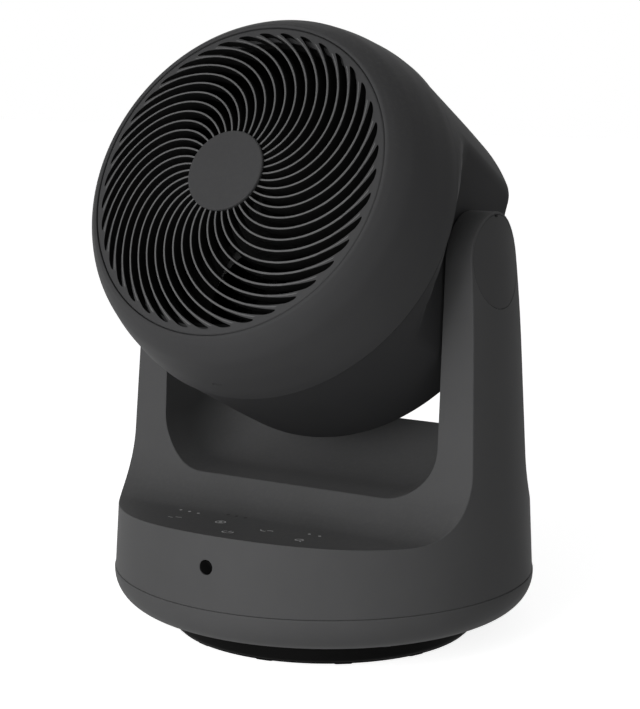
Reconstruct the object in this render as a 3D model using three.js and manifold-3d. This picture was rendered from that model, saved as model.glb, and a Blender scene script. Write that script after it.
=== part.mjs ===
// Table-top air circulator fan: a round swivelling base with a two-armed yoke, and between the
// arms a drum-shaped head that tilts. The head blows through a spiral front grille.
// Millimetres, +Z up. The front faces -Y. The origin is on the floor, on the swivel axis.
import * as THREE from 'three';
import { mergeVertices } from 'three/addons/utils/BufferGeometryUtils.js';
import Module from 'manifold-3d';

const wasm = await Module();
wasm.setup();

// ---------------------------------------------------------------- driving dimensions
const GAP = 0.3; // between fixed pieces that seat on each other
const WALL = 2.6; // moulded shells
const BOARD = 1.6; // circuit boards
const FINE = 40; // facets round a large turned piece
const MEDIUM = 20;
const SMALL = 8;

// foot, on the floor
const FOOT_R = 89.3;
const TREAD_H = 1.5; // the foot's underside above the floor
const FOOT_H = 10.7;
const FOOT_RIM = 16; // width of the rim that carries the tread
const FOOT_BEVEL = 2.5;
const TREAD_BAND = 0.6; // thickness of the rubber band between its pads
const TREAD_PADS = 12;
const PAD_SIZE = 10;
const SLIDE_R = 72;
const SLIDE_W = 12;
const SLIDE_H = 1.9;
const SPINDLE_R = 13;
const SPINDLE_H = 11.8; // above the foot's top
const SPINDLE_SCREW_R = 1.7;

// swivelling base
const SEAM_Z = 35.2; // parting line of the two base shells
const DRUM_R = 118.4; // at the parting line
const DRUM_TAPER = 0.0547; // radius lost per millimetre of height
const CROWN_Z = 165; // above this the arms' outer faces also curve in
const CROWN_R = 1000;
const LIP = 0.5; // the lower shell stands this far proud of the upper one
const PAN_EDGE_R = 103.1; // where the lower shell turns in under the base
const COLLAR_W = 4;
const DECK_LOW = 71; // lowest line of the scooped deck
const DECK_RIM = 75.9; // deck at its front edge
const SCOOP_R = 36; // between the arm and the deck
const ARM_HALF = 26.4; // half the arm's depth at the pivot
const ARM_SPREAD = 0.05; // depth gained per millimetre below the pivot, each side
const PIVOT_Z = 212.8;
const CHANNEL_HALF = 88.5; // half the width between the arms
const CHANNEL_Z = 86.3; // saddle between the arms, at its front edge
const CHANNEL_CORNER = 29.3;
const SADDLE_FLAT_Y = -12.6; // the saddle is level up to here, then sweeps up
const SADDLE_SWEEP_R = 47.3;
const CAP_R = 24.9;
const CAP_NOTCH = 3;
const SHELL_SCREW_R = 99; // circle of the screws that join the base shells
const SHELL_SCREW_ANGLES = [40, 140, 220, 320];

// controls and electrics in the base
const IR_Z = 57.3;
const IR_R = 3.9;
const CONTROL_W = 104;
const CONTROL_FRONT_Y = -100;
const CONTROL_BACK_Y = -66;
const CONTROL_Z = 60.5;
const CONTROL_POST_X = 40;
const POWER_BOARD = [52, 44];
const POWER_BOARD_AT = [-58, -24];
const INLET_Z = 50;
const INLET_COLLAR_R = 6;
const INLET_REACH = 124.4; // the inlet's collar stands proud of the drum at the back
const INLET_BODY = [13, 14, 11];
const INLET_BORE_R = 3.2;
const INLET_PIN_R = 1;

// gear trains
const SWIVEL_MODULE = 1.5;
const SWIVEL_TEETH = 32;
const SWIVEL_PINION_TEETH = 12;
const SWIVEL_FACE = 6;
const TILT_MODULE = 1;
const TILT_TEETH = 32;
const TILT_PINION_TEETH = 14;
const TILT_FACE = 3.2;
const BACKLASH = 0.15; // added to each centre distance
const SWIVEL_MOTOR_R = 14;
const SWIVEL_MOTOR_H = 18.5;
const SWIVEL_EAR_X = 18;
const TILT_MOTOR_R = 10;
const TILT_MOTOR_T = 6.2;
const TILT_EAR_Y = 13.5;
const EAR_T = 1;

// tilting head, measured forward along its axis from the pivot
const TILT = 26.1; // degrees above level, as photographed
const HEAD_SPLIT = 53; // parting line of the two head shells
const HEAD_R = 104; // at the parting line
const LIP_S = 101; // front lip
const LIP_R = 86.3;
const FRONT_KNOTS = [[60, 103.4], [67.4, 102.1], [75, 100.9], [83, 99], [89, 97.2], [93.8, 94.6]];
const REAR_KNOTS = [[30, 103.2], [0, 102.2], [-20, 101.2]];
const REAR_S = -31; // rear edge of the head's shell
const REAR_EDGE_R = 98.6;
const CHEEK_X = 87.2; // flat sides that pass between the arms
const CHEEK_FRONT_S = 34;
const CHEEK_BEVEL_S = 52;
const LEDGE_S = 95.5; // the front grille seats here
const LEDGE_R = 79.5;
const LEDGE_T = 2.2;
const REAR_SEAT_R = 93.5; // recess the rear grille drops into
const REAR_SEAT_S = -28;
const REAR_LEDGE_W = 5;
const REAR_LEDGE_T = 2.2;
const NOTCH_S = 68; // small slot under the front shell
const NOTCH = [6.5, 1.6];
const HEAD_SCREW_R = 96;
const HEAD_BOSS_R = 5;

// front grille
const GRILLE_R = 85.1;
const GRILLE_FACE_S = 109.4; // vane tops beside the hub
const GRILLE_RIM_S = 101;
const GRILLE_DEPTH = 8;
const VANES = 40;
const VANE_T = 1.7;
const VANE_SWEEP = 56; // degrees from the hub to the outer ends
const SLOT_IN = 24;
const SLOT_OUT = 79;
const HUB_R = 22;
const HUB_T = 1.8;

// rear grille
const REAR_GRILLE_T = 2.6;
const REAR_RINGS = [[93.2, -28.3], [90, -30.5], [62, -51], [58, -52.5], [30, -58], [0, -58]]; // r, s
const REAR_ROUND = 62; // inside this radius the grille is round, outside it follows the cheeks
const REAR_SLOTS = [[64, 89.5, 40], [31, 56, 20]]; // inner radius, outer radius, count
const REAR_RIB = 2.6;

// air tunnel, motor and impeller
const TUNNEL_R = 75.3;
const TUNNEL_T = 2.2;
const TUNNEL_FLANGE_R = 88;
const STRUTS = 5;
const STRUT_W = 5;
const MOTOR_PLATE_R = 32;
const MOTOR_PLATE_T = 3;
const MOTOR_R = 27;
const MOTOR_L = 26;
const MOTOR_SCREW_R = 18;
const SHAFT_R = 3;
const SHAFT_TIP_S = 63;
const IMPELLER_R = 72.5;
const IMPELLER_HUB_R = 31;
const IMPELLER_HUB_T = 2.2;
const IMPELLER_BACK_S = 12;
const IMPELLER_FRONT_S = 58;
const BLADES = 7;
const BLADE_T = 1.8;
const NUT_R = 6.5;

// trunnions that carry the head in the arms
const TRUNNION_R = 9;
const TRUNNION_NECK_R = 5;
const TRUNNION_FLANGE_R = 15;
const TRUNNION_FLANGE_T = 2.8;
const BUSH_R = 11;
const BUSH_FLANGE_R = 14;
const BUSH_FLANGE_T = 1.5;
const COLLAR_R = 12;
const PIVOT_SCREW_R = 2.2;
const PIVOT_SCREW_HEAD_R = 8;
const PIVOT_SCREW_HEAD_T = 2.3;

// ---------------------------------------------------------------- places worked out from them
const FOOT_TOP = TREAD_H + FOOT_H;
const PAN_Z = FOOT_TOP + GAP + SLIDE_H + GAP; // underside of the lower shell
const PAN_FLOOR = PAN_Z + WALL;
const BOSS_TOP = FOOT_TOP + SPINDLE_H;
const SWIVEL_GEAR_Z = BOSS_TOP + GAP;
const SWIVEL_GEAR_TOP = SWIVEL_GEAR_Z + SWIVEL_FACE;
const SWIVEL_CENTRES = (SWIVEL_MODULE * (SWIVEL_TEETH + SWIVEL_PINION_TEETH)) / 2 + BACKLASH;
const SWIVEL_MOTOR_Z = SWIVEL_GEAR_TOP + 3 * GAP;
const TILT_CENTRES = (TILT_MODULE * (TILT_TEETH + TILT_PINION_TEETH)) / 2 + BACKLASH;
const ARM_INNER = CHANNEL_HALF + WALL; // inside face of the arm's inner wall
const BUSH_END = ARM_INNER + GAP + BUSH_FLANGE_T;
const TRUNNION_SHOULDER = BUSH_END + GAP;
const TILT_GEAR_X = TRUNNION_SHOULDER + GAP;
const TILT_GEAR_END = TILT_GEAR_X + TILT_FACE;
const TRUNNION_END = TILT_GEAR_END - GAP;
const TILT_MOTOR_X = TILT_GEAR_END + 2 * GAP;
const TILT_MOTOR_Z = PIVOT_Z - TILT_CENTRES;
const CHEEK_INNER = CHEEK_X - WALL;
const RIM_S = HEAD_SPLIT - GAP;
const MOTOR_S = MOTOR_PLATE_T / 2 + GAP;

const rad = THREE.MathUtils.degToRad;
const blend = THREE.MathUtils.lerp;
const drumRadius = (z) =>
  DRUM_R - DRUM_TAPER * (z - SEAM_Z) - Math.max(z - CROWN_Z, 0) ** 2 / (2 * CROWN_R);

// the arm's flat flanks lean out downwards by this angle
const LEAN = Math.atan(ARM_SPREAD);
const SCOOP_Z = DECK_LOW + SCOOP_R;
const SCOOP_Y =
  (ARM_HALF + SCOOP_R - (SCOOP_Z - PIVOT_Z) * Math.sin(LEAN)) / Math.cos(LEAN);
const DECK_SPAN = drumRadius(DECK_RIM) - SCOOP_Y;
const DECK_RISE = DECK_RIM - DECK_LOW;
const DECK_R = (DECK_SPAN ** 2 + DECK_RISE ** 2) / (2 * DECK_RISE);

// ---------------------------------------------------------------- materials
const paint = (color, roughness, metalness = 0) =>
  new THREE.MeshStandardMaterial({ color, roughness, metalness });
const SHELL = paint(0x4a4a4b, 0.55);
const REAR = paint(0x3f3f40, 0.6);
const GRILLE = paint(0x39393a, 0.5);
const BLACK = paint(0x141415, 0.6);
const RUBBER = paint(0x0c0c0c, 0.9);
const LENS = paint(0x060606, 0.12);
const FAN = paint(0x1b1b1c, 0.45);
const NYLON = paint(0xd8d6cf, 0.5);
const STEEL = paint(0xa9abae, 0.35, 1);
const PCB = paint(0x1d4a32, 0.6);

// ---------------------------------------------------------------- solids
// shared vertices merged, collapsed triangles dropped, faces turned outwards
function clean(geometry) {
  geometry.deleteAttribute('normal');
  geometry.deleteAttribute('uv');
  const merged = mergeVertices(geometry, 1e-4);
  const index = merged.index.array;
  const kept = [];
  for (let i = 0; i < index.length; i += 3) {
    const [a, b, c] = [index[i], index[i + 1], index[i + 2]];
    if (a !== b && b !== c && c !== a) kept.push(a, b, c);
  }
  if (signedVolume(merged.attributes.position, kept) < 0) kept.reverse();
  merged.setIndex(kept);
  return merged;
}

function signedVolume(position, index) {
  const [a, b, c] = [new THREE.Vector3(), new THREE.Vector3(), new THREE.Vector3()];
  let sum = 0;
  for (let i = 0; i < index.length; i += 3) {
    a.fromBufferAttribute(position, index[i]);
    b.fromBufferAttribute(position, index[i + 1]);
    c.fromBufferAttribute(position, index[i + 2]);
    sum += a.dot(b.cross(c));
  }
  return sum;
}

function solid(geometry) {
  const closed = clean(geometry);
  return new wasm.Manifold(new wasm.Mesh({
    numProp: 3,
    vertProperties: new Float32Array(closed.attributes.position.array),
    triVerts: new Uint32Array(closed.index.array),
  }));
}

function toGeometry(manifold) {
  const mesh = manifold.getMesh();
  const geometry = new THREE.BufferGeometry();
  geometry.setAttribute('position', new THREE.BufferAttribute(mesh.vertProperties, 3));
  geometry.setIndex(new THREE.BufferAttribute(mesh.triVerts, 1));
  return geometry;
}

const join = (first, ...rest) => rest.reduce((sum, part) => sum.add(part), first);
const cut = (first, ...rest) => rest.reduce((sum, part) => sum.subtract(part), first);

// a profile of [radius, height] turned about Z
function turned(profile, facets = FINE) {
  const points = profile.map(([r, z]) => new THREE.Vector2(r, z));
  return new THREE.LatheGeometry(points, facets).rotateX(Math.PI / 2);
}

// the same, for a profile that closes on itself round a bore
const ring = (profile, facets = FINE) => turned([...profile, profile[0]], facets);

function rod(r, z0, z1, facets = SMALL) {
  return turned([[0, z0], [r, z0], [r, z1], [0, z1]], facets);
}

function tube(inner, outer, z0, z1, facets = MEDIUM) {
  return ring([[inner, z0], [outer, z0], [outer, z1], [inner, z1]], facets);
}

// a rod along X, between two x values, at a height and depth
function rodX(r, x0, x1, y, z, facets = SMALL) {
  return rod(r, x0, x1, facets).rotateY(Math.PI / 2).translate(0, y, z);
}

// a rod along Y, between two y values
function rodY(r, y0, y1, x, z, facets = SMALL) {
  return rod(r, y0, y1, facets).rotateX(-Math.PI / 2).translate(x, 0, z);
}

function box(x0, x1, y0, y1, z0, z1) {
  const geometry = new THREE.BoxGeometry(x1 - x0, y1 - y0, z1 - z0);
  return geometry.translate((x0 + x1) / 2, (y0 + y1) / 2, (z0 + z1) / 2);
}

const arcPoints = (x, y, r, from, to, steps) =>
  Array.from({ length: steps + 1 }, (_, i) => {
    const a = rad(from + ((to - from) * i) / steps);
    return [x + r * Math.cos(a), y + r * Math.sin(a)];
  });

const polar = (r, degrees) => [r * Math.cos(rad(degrees)), r * Math.sin(rad(degrees))];

const outline = (points) => new THREE.Shape(points.map(([x, y]) => new THREE.Vector2(x, y)));

const prism = (points, depth) =>
  new THREE.ExtrudeGeometry(outline(points), { depth, bevelEnabled: false });

// ---------------------------------------------------------------- base shells
// side view of yoke and deck as [y, z], drawn inwards by inset
function yokeProfile(inset, floor) {
  const lean = THREE.MathUtils.radToDeg(LEAN);
  const reach = DRUM_R + 3 * WALL;
  const deckEnd = THREE.MathUtils.radToDeg(Math.asin((reach - SCOOP_Y) / (DECK_R + inset)));
  const half = [
    ...arcPoints(0, PIVOT_Z, ARM_HALF - inset, 90, lean, 8),
    ...arcPoints(SCOOP_Y, SCOOP_Z, SCOOP_R + inset, 180 + lean, 270, 8),
    ...arcPoints(SCOOP_Y, DECK_LOW + DECK_R, DECK_R + inset, 270, 270 + deckEnd, 4).slice(1),
    [reach, floor],
  ];
  const mirrored = half.slice(1).reverse().map(([y, z]) => [-y, z]);
  return [...half, ...mirrored];
}

// the profile drawn across the full width, between the arms' outer faces
function yokeSlab(inset, floor) {
  const width = 2 * (DRUM_R + WALL);
  const geometry = prism(yokeProfile(inset, floor), width);
  return geometry.translate(0, 0, -width / 2).rotateZ(Math.PI / 2).rotateY(Math.PI / 2);
}

function drum(inset, z0, z1, facets = FINE) {
  const crown = [0, 0.25, 0.5, 0.75].map((t) => blend(CROWN_Z, z1, t)).filter((z) => z > z0);
  const side = [z0, ...crown, z1].map((z) => [drumRadius(z) - inset, z]);
  return turned([[0, z0], ...side, [0, z1]], facets);
}

// the channel between the arms: a rounded U drawn from front to back over the swept saddle
function channel(inset) {
  const half = CHANNEL_HALF + inset;
  const corner = CHANNEL_CORNER + inset;
  const top = PIVOT_Z + DRUM_R;
  const left = arcPoints(corner - half, corner, corner, 180, 270, 6);
  const right = left.map(([x, z]) => [-x, z]).reverse();
  const shape = outline([[-half, top], ...left, ...right, [half, top]]);
  const sweep = SADDLE_SWEEP_R + inset;
  const stations = [-DRUM_R - WALL, SADDLE_FLAT_Y];
  for (let a = 12; a <= 72; a += 12) stations.push(SADDLE_FLAT_Y + sweep * Math.sin(rad(a)));
  stations.push(DRUM_R + WALL);
  const steps = stations.length - 1;
  const geometry = new THREE.ExtrudeGeometry(shape, { depth: steps, steps, bevelEnabled: false });
  const position = geometry.attributes.position;
  for (let i = 0; i < position.count; i += 1) {
    const y = stations[Math.round(position.getZ(i))];
    const along = Math.min(Math.max(y - SADDLE_FLAT_Y, 0), sweep * Math.sin(rad(72)));
    const rise = sweep - Math.sqrt(sweep ** 2 - along ** 2);
    position.setXYZ(i, position.getX(i), y, CHANNEL_Z - inset + rise + position.getY(i));
  }
  return geometry;
}

function yoke(inset, floor) {
  const top = PIVOT_Z + ARM_HALF + WALL;
  const body = solid(yokeSlab(inset, floor)).intersect(solid(drum(inset, floor, top, inset ? FINE / 2 : FINE)));
  return body.subtract(solid(channel(inset)));
}

const screwPlaces = SHELL_SCREW_ANGLES.map((a) => polar(SHELL_SCREW_R, a));
const controlPosts = [CONTROL_BACK_Y - 6, CONTROL_FRONT_Y + 6].flatMap((y) => [
  [-CONTROL_POST_X, y],
  [CONTROL_POST_X, y],
]);

function upperShell() {
  const hollow = yoke(WALL, SEAM_Z - WALL);
  const shell = yoke(0, SEAM_Z).subtract(hollow);
  const bosses = screwPlaces.map(([x, y]) =>
    solid(rod(4.5, PAN_FLOOR + 5 + GAP, DECK_LOW - WALL / 2).translate(x, y, 0)));
  const posts = controlPosts.map(([x, y]) =>
    solid(rod(3, CONTROL_Z + BOARD + GAP, DECK_LOW - WALL / 2).translate(x, y, 0)));
  const motorPosts = [-TILT_EAR_Y, TILT_EAR_Y].map((y) =>
    solid(rodX(2.6, ARM_INNER - WALL / 2, TILT_MOTOR_X - GAP, y, TILT_MOTOR_Z)));
  const bores = screwPlaces.map(([x, y]) => solid(rod(1.8, SEAM_Z - 20, SEAM_Z + 6).translate(x, y, 0)));
  const motorBores = [-TILT_EAR_Y, TILT_EAR_Y].map((y) =>
    solid(rodX(1.2, ARM_INNER, TILT_MOTOR_X, y, TILT_MOTOR_Z)));
  const openings = [-1, 1].flatMap((side) => [
    solid(rodX(CAP_R + GAP, ARM_INNER + 6, DRUM_R, 0, PIVOT_Z, 36).scale(side, 1, 1)),
    solid(rodX(BUSH_R + GAP, CHANNEL_HALF - 2, ARM_INNER + 2, 0, PIVOT_Z, MEDIUM).scale(side, 1, 1)),
  ]);
  const window = solid(rodY(IR_R + GAP, -DRUM_R, 8 - DRUM_R, 0, IR_Z, 16));
  const inlet = solid(rodY(INLET_COLLAR_R + GAP, DRUM_R - 8, DRUM_R, 0, INLET_Z, 16));
  const body = join(shell, ...bosses, ...posts, ...motorPosts);
  return cut(body, ...bores, ...motorBores, ...openings, window, inlet);
}

// the pan under the base: it curls in from the parting line to its flat underside
function lowerShell() {
  const top = SEAM_Z - GAP;
  const curl = (inset, steps) =>
    arcPoints(0, 0, 1, -90, 0, steps).map(([c, s]) => [
      PAN_EDGE_R + (DRUM_R + LIP - PAN_EDGE_R - inset) * c,
      top - 1.5 + (top - 1.5 - PAN_Z - inset) * s,
    ]);
  const bore = SPINDLE_R + 1.5;
  const profile = [
    [bore, PAN_Z],
    ...curl(0, 5),
    [DRUM_R + LIP, top - LIP],
    [DRUM_R, top],
    [DRUM_R - WALL, top],
    ...curl(WALL, 3).reverse(),
    [bore + COLLAR_W, PAN_FLOOR],
    [bore + COLLAR_W, BOSS_TOP - GAP],
    [bore, BOSS_TOP - GAP],
  ];
  const cups = screwPlaces.map(([x, y]) => solid(rod(5.6, PAN_Z, PAN_FLOOR + 5).translate(x, y, 0)));
  const recesses = screwPlaces.map(([x, y]) => solid(rod(3.9, PAN_Z - 1, PAN_Z + 3.6).translate(x, y, 0)));
  const holes = screwPlaces.map(([x, y]) => solid(rod(1.9, PAN_Z, SEAM_Z).translate(x, y, 0)));
  const motorPosts = [-SWIVEL_EAR_X, SWIVEL_EAR_X].map((x) =>
    solid(tube(1.6, 3.2, PAN_FLOOR - 1, SWIVEL_MOTOR_Z - GAP, SMALL).translate(x, SWIVEL_CENTRES, 0)));
  const [w, d] = POWER_BOARD;
  const boardPosts = [[-1, -1], [1, -1], [-1, 1], [1, 1]].map(([i, j]) =>
    solid(rod(2.6, PAN_FLOOR - 1, PAN_FLOOR + 6).translate(
      POWER_BOARD_AT[0] + i * (w / 2 - 4),
      POWER_BOARD_AT[1] + j * (d / 2 - 4),
      0,
    )));
  const body = join(solid(ring(profile)), ...cups, ...motorPosts, ...boardPosts);
  return cut(body, ...recesses, ...holes);
}

// a round plate let into the arm's outer face, flush with it, with a pry notch at its top
function pivotCap(side) {
  const [z0, z1] = [PIVOT_Z - CAP_R - WALL, PIVOT_Z + CAP_R + WALL];
  const plate = solid(rodX(CAP_R, ARM_INNER, DRUM_R, 0, PIVOT_Z, 36));
  const skin = solid(drum(0, z0, z1)).subtract(solid(drum(WALL, z0 - 1, z1 + 1)));
  const top = PIVOT_Z + CAP_R;
  const half = CAP_NOTCH / 2;
  const notch = solid(box(ARM_INNER, DRUM_R, -half, half, top - half, top + half));
  const cap = cut(plate.intersect(skin), notch);
  return toGeometry(side > 0 ? cap : cap.mirror([1, 0, 0]));
}

// ---------------------------------------------------------------- foot
function swivelFoot() {
  const bore = SPINDLE_SCREW_R + GAP;
  const under = FOOT_TOP - WALL;
  return ring([
    [bore, BOSS_TOP],
    [SPINDLE_R, BOSS_TOP],
    [SPINDLE_R, FOOT_TOP],
    [FOOT_R - 1, FOOT_TOP],
    [FOOT_R, FOOT_TOP - 1],
    [FOOT_R, TREAD_H + FOOT_BEVEL],
    [FOOT_R - FOOT_BEVEL, TREAD_H],
    [FOOT_R - FOOT_RIM, TREAD_H],
    [FOOT_R - FOOT_RIM, under],
    [SPINDLE_R - WALL, under],
    [SPINDLE_R - WALL, TREAD_H + WALL],
    [bore, TREAD_H + WALL],
  ]);
}

// rubber band under the foot's rim, with square pads that touch the floor
function footTread() {
  const outer = FOOT_R - FOOT_BEVEL;
  const top = TREAD_H - GAP;
  const band = solid(tube(outer - PAD_SIZE, outer, top - TREAD_BAND, top, FINE));
  const pads = Array.from({ length: TREAD_PADS }, (_, i) => {
    const pad = box(outer - PAD_SIZE + 1, outer - 0.5, -PAD_SIZE / 2, PAD_SIZE / 2, 0, top);
    return solid(pad.rotateZ(rad((360 * (i + 0.3)) / TREAD_PADS)));
  });
  return toGeometry(join(band, ...pads));
}

// ---------------------------------------------------------------- gears
// an involute spur gear, thinned a little so that it runs free
function gear(size, teeth, face, bore) {
  const pitch = (size * teeth) / 2;
  const base = pitch * Math.cos(rad(20));
  const tip = pitch + 0.9 * size;
  const root = pitch - 1.2 * size;
  const involute = (r) => (r <= base ? 0 : Math.sqrt((r / base) ** 2 - 1) - Math.acos(base / r));
  const half = Math.PI / (2 * teeth) - 0.08 / pitch + involute(pitch);
  const radii = [root, pitch, tip];
  const points = [];
  for (let i = 0; i < teeth; i += 1) {
    const middle = (2 * Math.PI * i) / teeth;
    const flank = radii.map((r) => [r, half - involute(r)]);
    for (const [r, a] of flank) points.push([r * Math.cos(middle - a), r * Math.sin(middle - a)]);
    for (const [r, a] of flank.reverse()) {
      points.push([r * Math.cos(middle + a), r * Math.sin(middle + a)]);
    }
  }
  const shape = outline(points);
  shape.holes.push(new THREE.Path(arcPoints(0, 0, bore, 360, 0, 12).slice(1)
    .map(([x, y]) => new THREE.Vector2(x, y))));
  return new THREE.ExtrudeGeometry(shape, { depth: face, bevelEnabled: false });
}

// ---------------------------------------------------------------- small pieces of the base
// a pan-headed screw pointing along +Z, with its head's underside at zero
function screw(headR, headT, shankR, length) {
  return turned([[0, -headT], [headR, -headT], [headR, 0], [shankR, 0], [shankR, length], [0, length]],
    SMALL);
}

function swivelMotor() {
  const body = solid(rod(SWIVEL_MOTOR_R, 0, SWIVEL_MOTOR_H, MEDIUM));
  const ears = solid(box(-SWIVEL_EAR_X - 4, SWIVEL_EAR_X + 4, -3.5, 3.5, 0, EAR_T));
  const shaft = solid(rod(1.5, SWIVEL_GEAR_Z + GAP - SWIVEL_MOTOR_Z, 1));
  const holes = [-SWIVEL_EAR_X, SWIVEL_EAR_X].map((x) => solid(rod(1.6, -1, 3).translate(x, 0, 0)));
  return toGeometry(cut(join(body, ears, shaft), ...holes));
}

// modelled along +Z, then turned so that its shaft points inwards along -X
function tiltMotor() {
  const body = solid(rod(TILT_MOTOR_R, 0, TILT_MOTOR_T, MEDIUM));
  const ears = solid(box(-3, 3, -TILT_EAR_Y - 3.2, TILT_EAR_Y + 3.2, 0, EAR_T));
  const shaft = solid(rod(1.2, TILT_GEAR_X + GAP - TILT_MOTOR_X, 1));
  const holes = [-TILT_EAR_Y, TILT_EAR_Y].map((y) => solid(rod(1.3, -1, 3).translate(0, y, 0)));
  return toGeometry(cut(join(body, ears, shaft), ...holes));
}

function powerInlet() {
  const [w, d, h] = INLET_BODY;
  const back = drumRadius(INLET_Z) - WALL - 1.5;
  const body = solid(box(-w / 2, w / 2, back - d, back, INLET_Z - h / 2, INLET_Z + h / 2));
  const collar = solid(rodY(INLET_COLLAR_R, back - 1, INLET_REACH, 0, INLET_Z, 16));
  const bore = solid(rodY(INLET_BORE_R, INLET_REACH - 10, INLET_REACH + 1, 0, INLET_Z, 12));
  const pin = solid(rodY(INLET_PIN_R, INLET_REACH - 11, INLET_REACH - 1.5, 0, INLET_Z, 8));
  return toGeometry(join(cut(join(body, collar), bore), pin));
}

function irWindow() {
  const face = drumRadius(IR_Z) - 0.15;
  const seat = drumRadius(IR_Z) - WALL - 1;
  const lens = solid(rodY(IR_R, -face, 0.5 - seat, 0, IR_Z, 16));
  const flange = solid(rodY(IR_R + 1.5, -seat, 1.2 - seat, 0, IR_Z, 16));
  return toGeometry(join(lens, flange));
}

// ---------------------------------------------------------------- head shells
// turned outline of both head shells as [radius, s], from rear edge to front lip
const smooth = (knots, steps) =>
  new THREE.SplineCurve(knots.map(([s, r]) => new THREE.Vector2(r, s))).getPoints(steps)
    .map((p) => [p.x, p.y]);
const frontCurve = smooth([[HEAD_SPLIT, HEAD_R], ...FRONT_KNOTS, [LIP_S - 1, LIP_R + 1.6]], 8);
const rearCurve = smooth([[RIM_S, HEAD_R - 0.3], ...REAR_KNOTS, [REAR_S + 3, REAR_EDGE_R + 1.6]], 5);

function radiusAt(curve, s) {
  const i = Math.max(curve.findIndex(([, at]) => at >= s), 1);
  const [[r0, s0], [r1, s1]] = [curve[i - 1], curve[i]];
  return blend(r0, r1, (s - s0) / (s1 - s0));
}

function frontShell() {
  const inner = [HEAD_SPLIT, 64, 75, 85, LEDGE_S - LEDGE_T]
    .map((s) => [radiusAt(frontCurve, s) - WALL, s]);
  const profile = [
    ...frontCurve,
    [LIP_R, LIP_S],
    [GRILLE_R + GAP, LIP_S - 0.8],
    [GRILLE_R + GAP, LEDGE_S],
    [LEDGE_R, LEDGE_S],
    [LEDGE_R, LEDGE_S - LEDGE_T],
    ...inner.reverse(),
  ];
  const [w, h] = NOTCH;
  const slot = solid(box(-w / 2, w / 2, -HEAD_R - 2, 6 - HEAD_R - WALL, NOTCH_S, NOTCH_S + h));
  const bosses = headScrews.map(([x, y]) => solid(rod(HEAD_BOSS_R, HEAD_SPLIT, 66).translate(x, y, 0)));
  const bores = headScrews.map(([x, y]) => solid(rod(1.7, HEAD_SPLIT - 1, 65).translate(x, y, 0)));
  return toGeometry(cut(join(solid(ring(profile)), ...bosses), slot, ...bores));
}

const headScrews = [45, 135, 225, 315].map((a) => polar(HEAD_SCREW_R, a));

// what is cut off each side of the rear shell, so that it passes between the arms
function cheek(inset) {
  const x = CHEEK_X - inset;
  const far = HEAD_R + 8;
  const slope = (CHEEK_BEVEL_S - CHEEK_FRONT_S) / (HEAD_R - CHEEK_X);
  const front = CHEEK_FRONT_S + inset;
  const points = [
    [x, REAR_S - 30],
    [far, REAR_S - 30],
    [far, front + slope * (far - x)],
    [x + 4, front + slope * 4],
    [x, front - 5],
  ];
  const wedge = prism(points, 4 * HEAD_R).rotateX(Math.PI / 2).translate(0, 2 * HEAD_R, 0);
  return solid(wedge);
}

function withoutCheeks(body, inset) {
  const wedge = cheek(inset);
  return cut(body, wedge, wedge.mirror([1, 0, 0]));
}

function rearShell() {
  const outer = solid(turned([[0, RIM_S], ...rearCurve, [REAR_EDGE_R, REAR_S], [0, REAR_S]]));
  const innerCurve = rearCurve.filter(([, s]) => s > REAR_S + 6).map(([r, s]) => [r - WALL, s]);
  const inner = solid(turned([
    [0, RIM_S + 1],
    [innerCurve[0][0], RIM_S + 1],
    ...innerCurve,
    [REAR_SEAT_R + 1, REAR_SEAT_S + REAR_LEDGE_T],
    [0, REAR_SEAT_S + REAR_LEDGE_T],
  ]));
  const mouth = solid(rod(REAR_SEAT_R - REAR_LEDGE_W, REAR_S - 1, REAR_SEAT_S + 4, FINE));
  const recess = solid(rod(REAR_SEAT_R, REAR_S - 1, REAR_SEAT_S, FINE));
  const skin = cut(withoutCheeks(outer, 0), withoutCheeks(inner, WALL));
  const bosses = headScrews.map(([x, y]) => solid(rod(HEAD_BOSS_R, 30, RIM_S).translate(x, y, 0)));
  const bores = headScrews.map(([x, y]) => solid(rod(1.7, 29, RIM_S + 1).translate(x, y, 0)));
  const axle = solid(rodX(TRUNNION_R + GAP, -HEAD_R, HEAD_R, 0, 0, MEDIUM));
  const end = [withoutCheeks(mouth, WALL + REAR_LEDGE_W), withoutCheeks(recess, WALL)];
  return toGeometry(cut(join(skin, ...bosses), ...end, ...bores, axle));
}

// ---------------------------------------------------------------- grilles
// a plate with slots, dished by moving its two faces to the heights front(x, y) and back(x, y)
function dishedPlate(edge, slots, front, back) {
  const shape = outline(edge);
  for (const slot of slots) {
    shape.holes.push(new THREE.Path(slot.map(([x, y]) => new THREE.Vector2(x, y))));
  }
  const geometry = new THREE.ExtrudeGeometry(shape, { depth: 1, bevelEnabled: false });
  const position = geometry.attributes.position;
  for (let i = 0; i < position.count; i += 1) {
    const [x, y] = [position.getX(i), position.getY(i)];
    position.setZ(i, position.getZ(i) > 0.5 ? front(x, y) : back(x, y));
  }
  return geometry;
}

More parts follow.
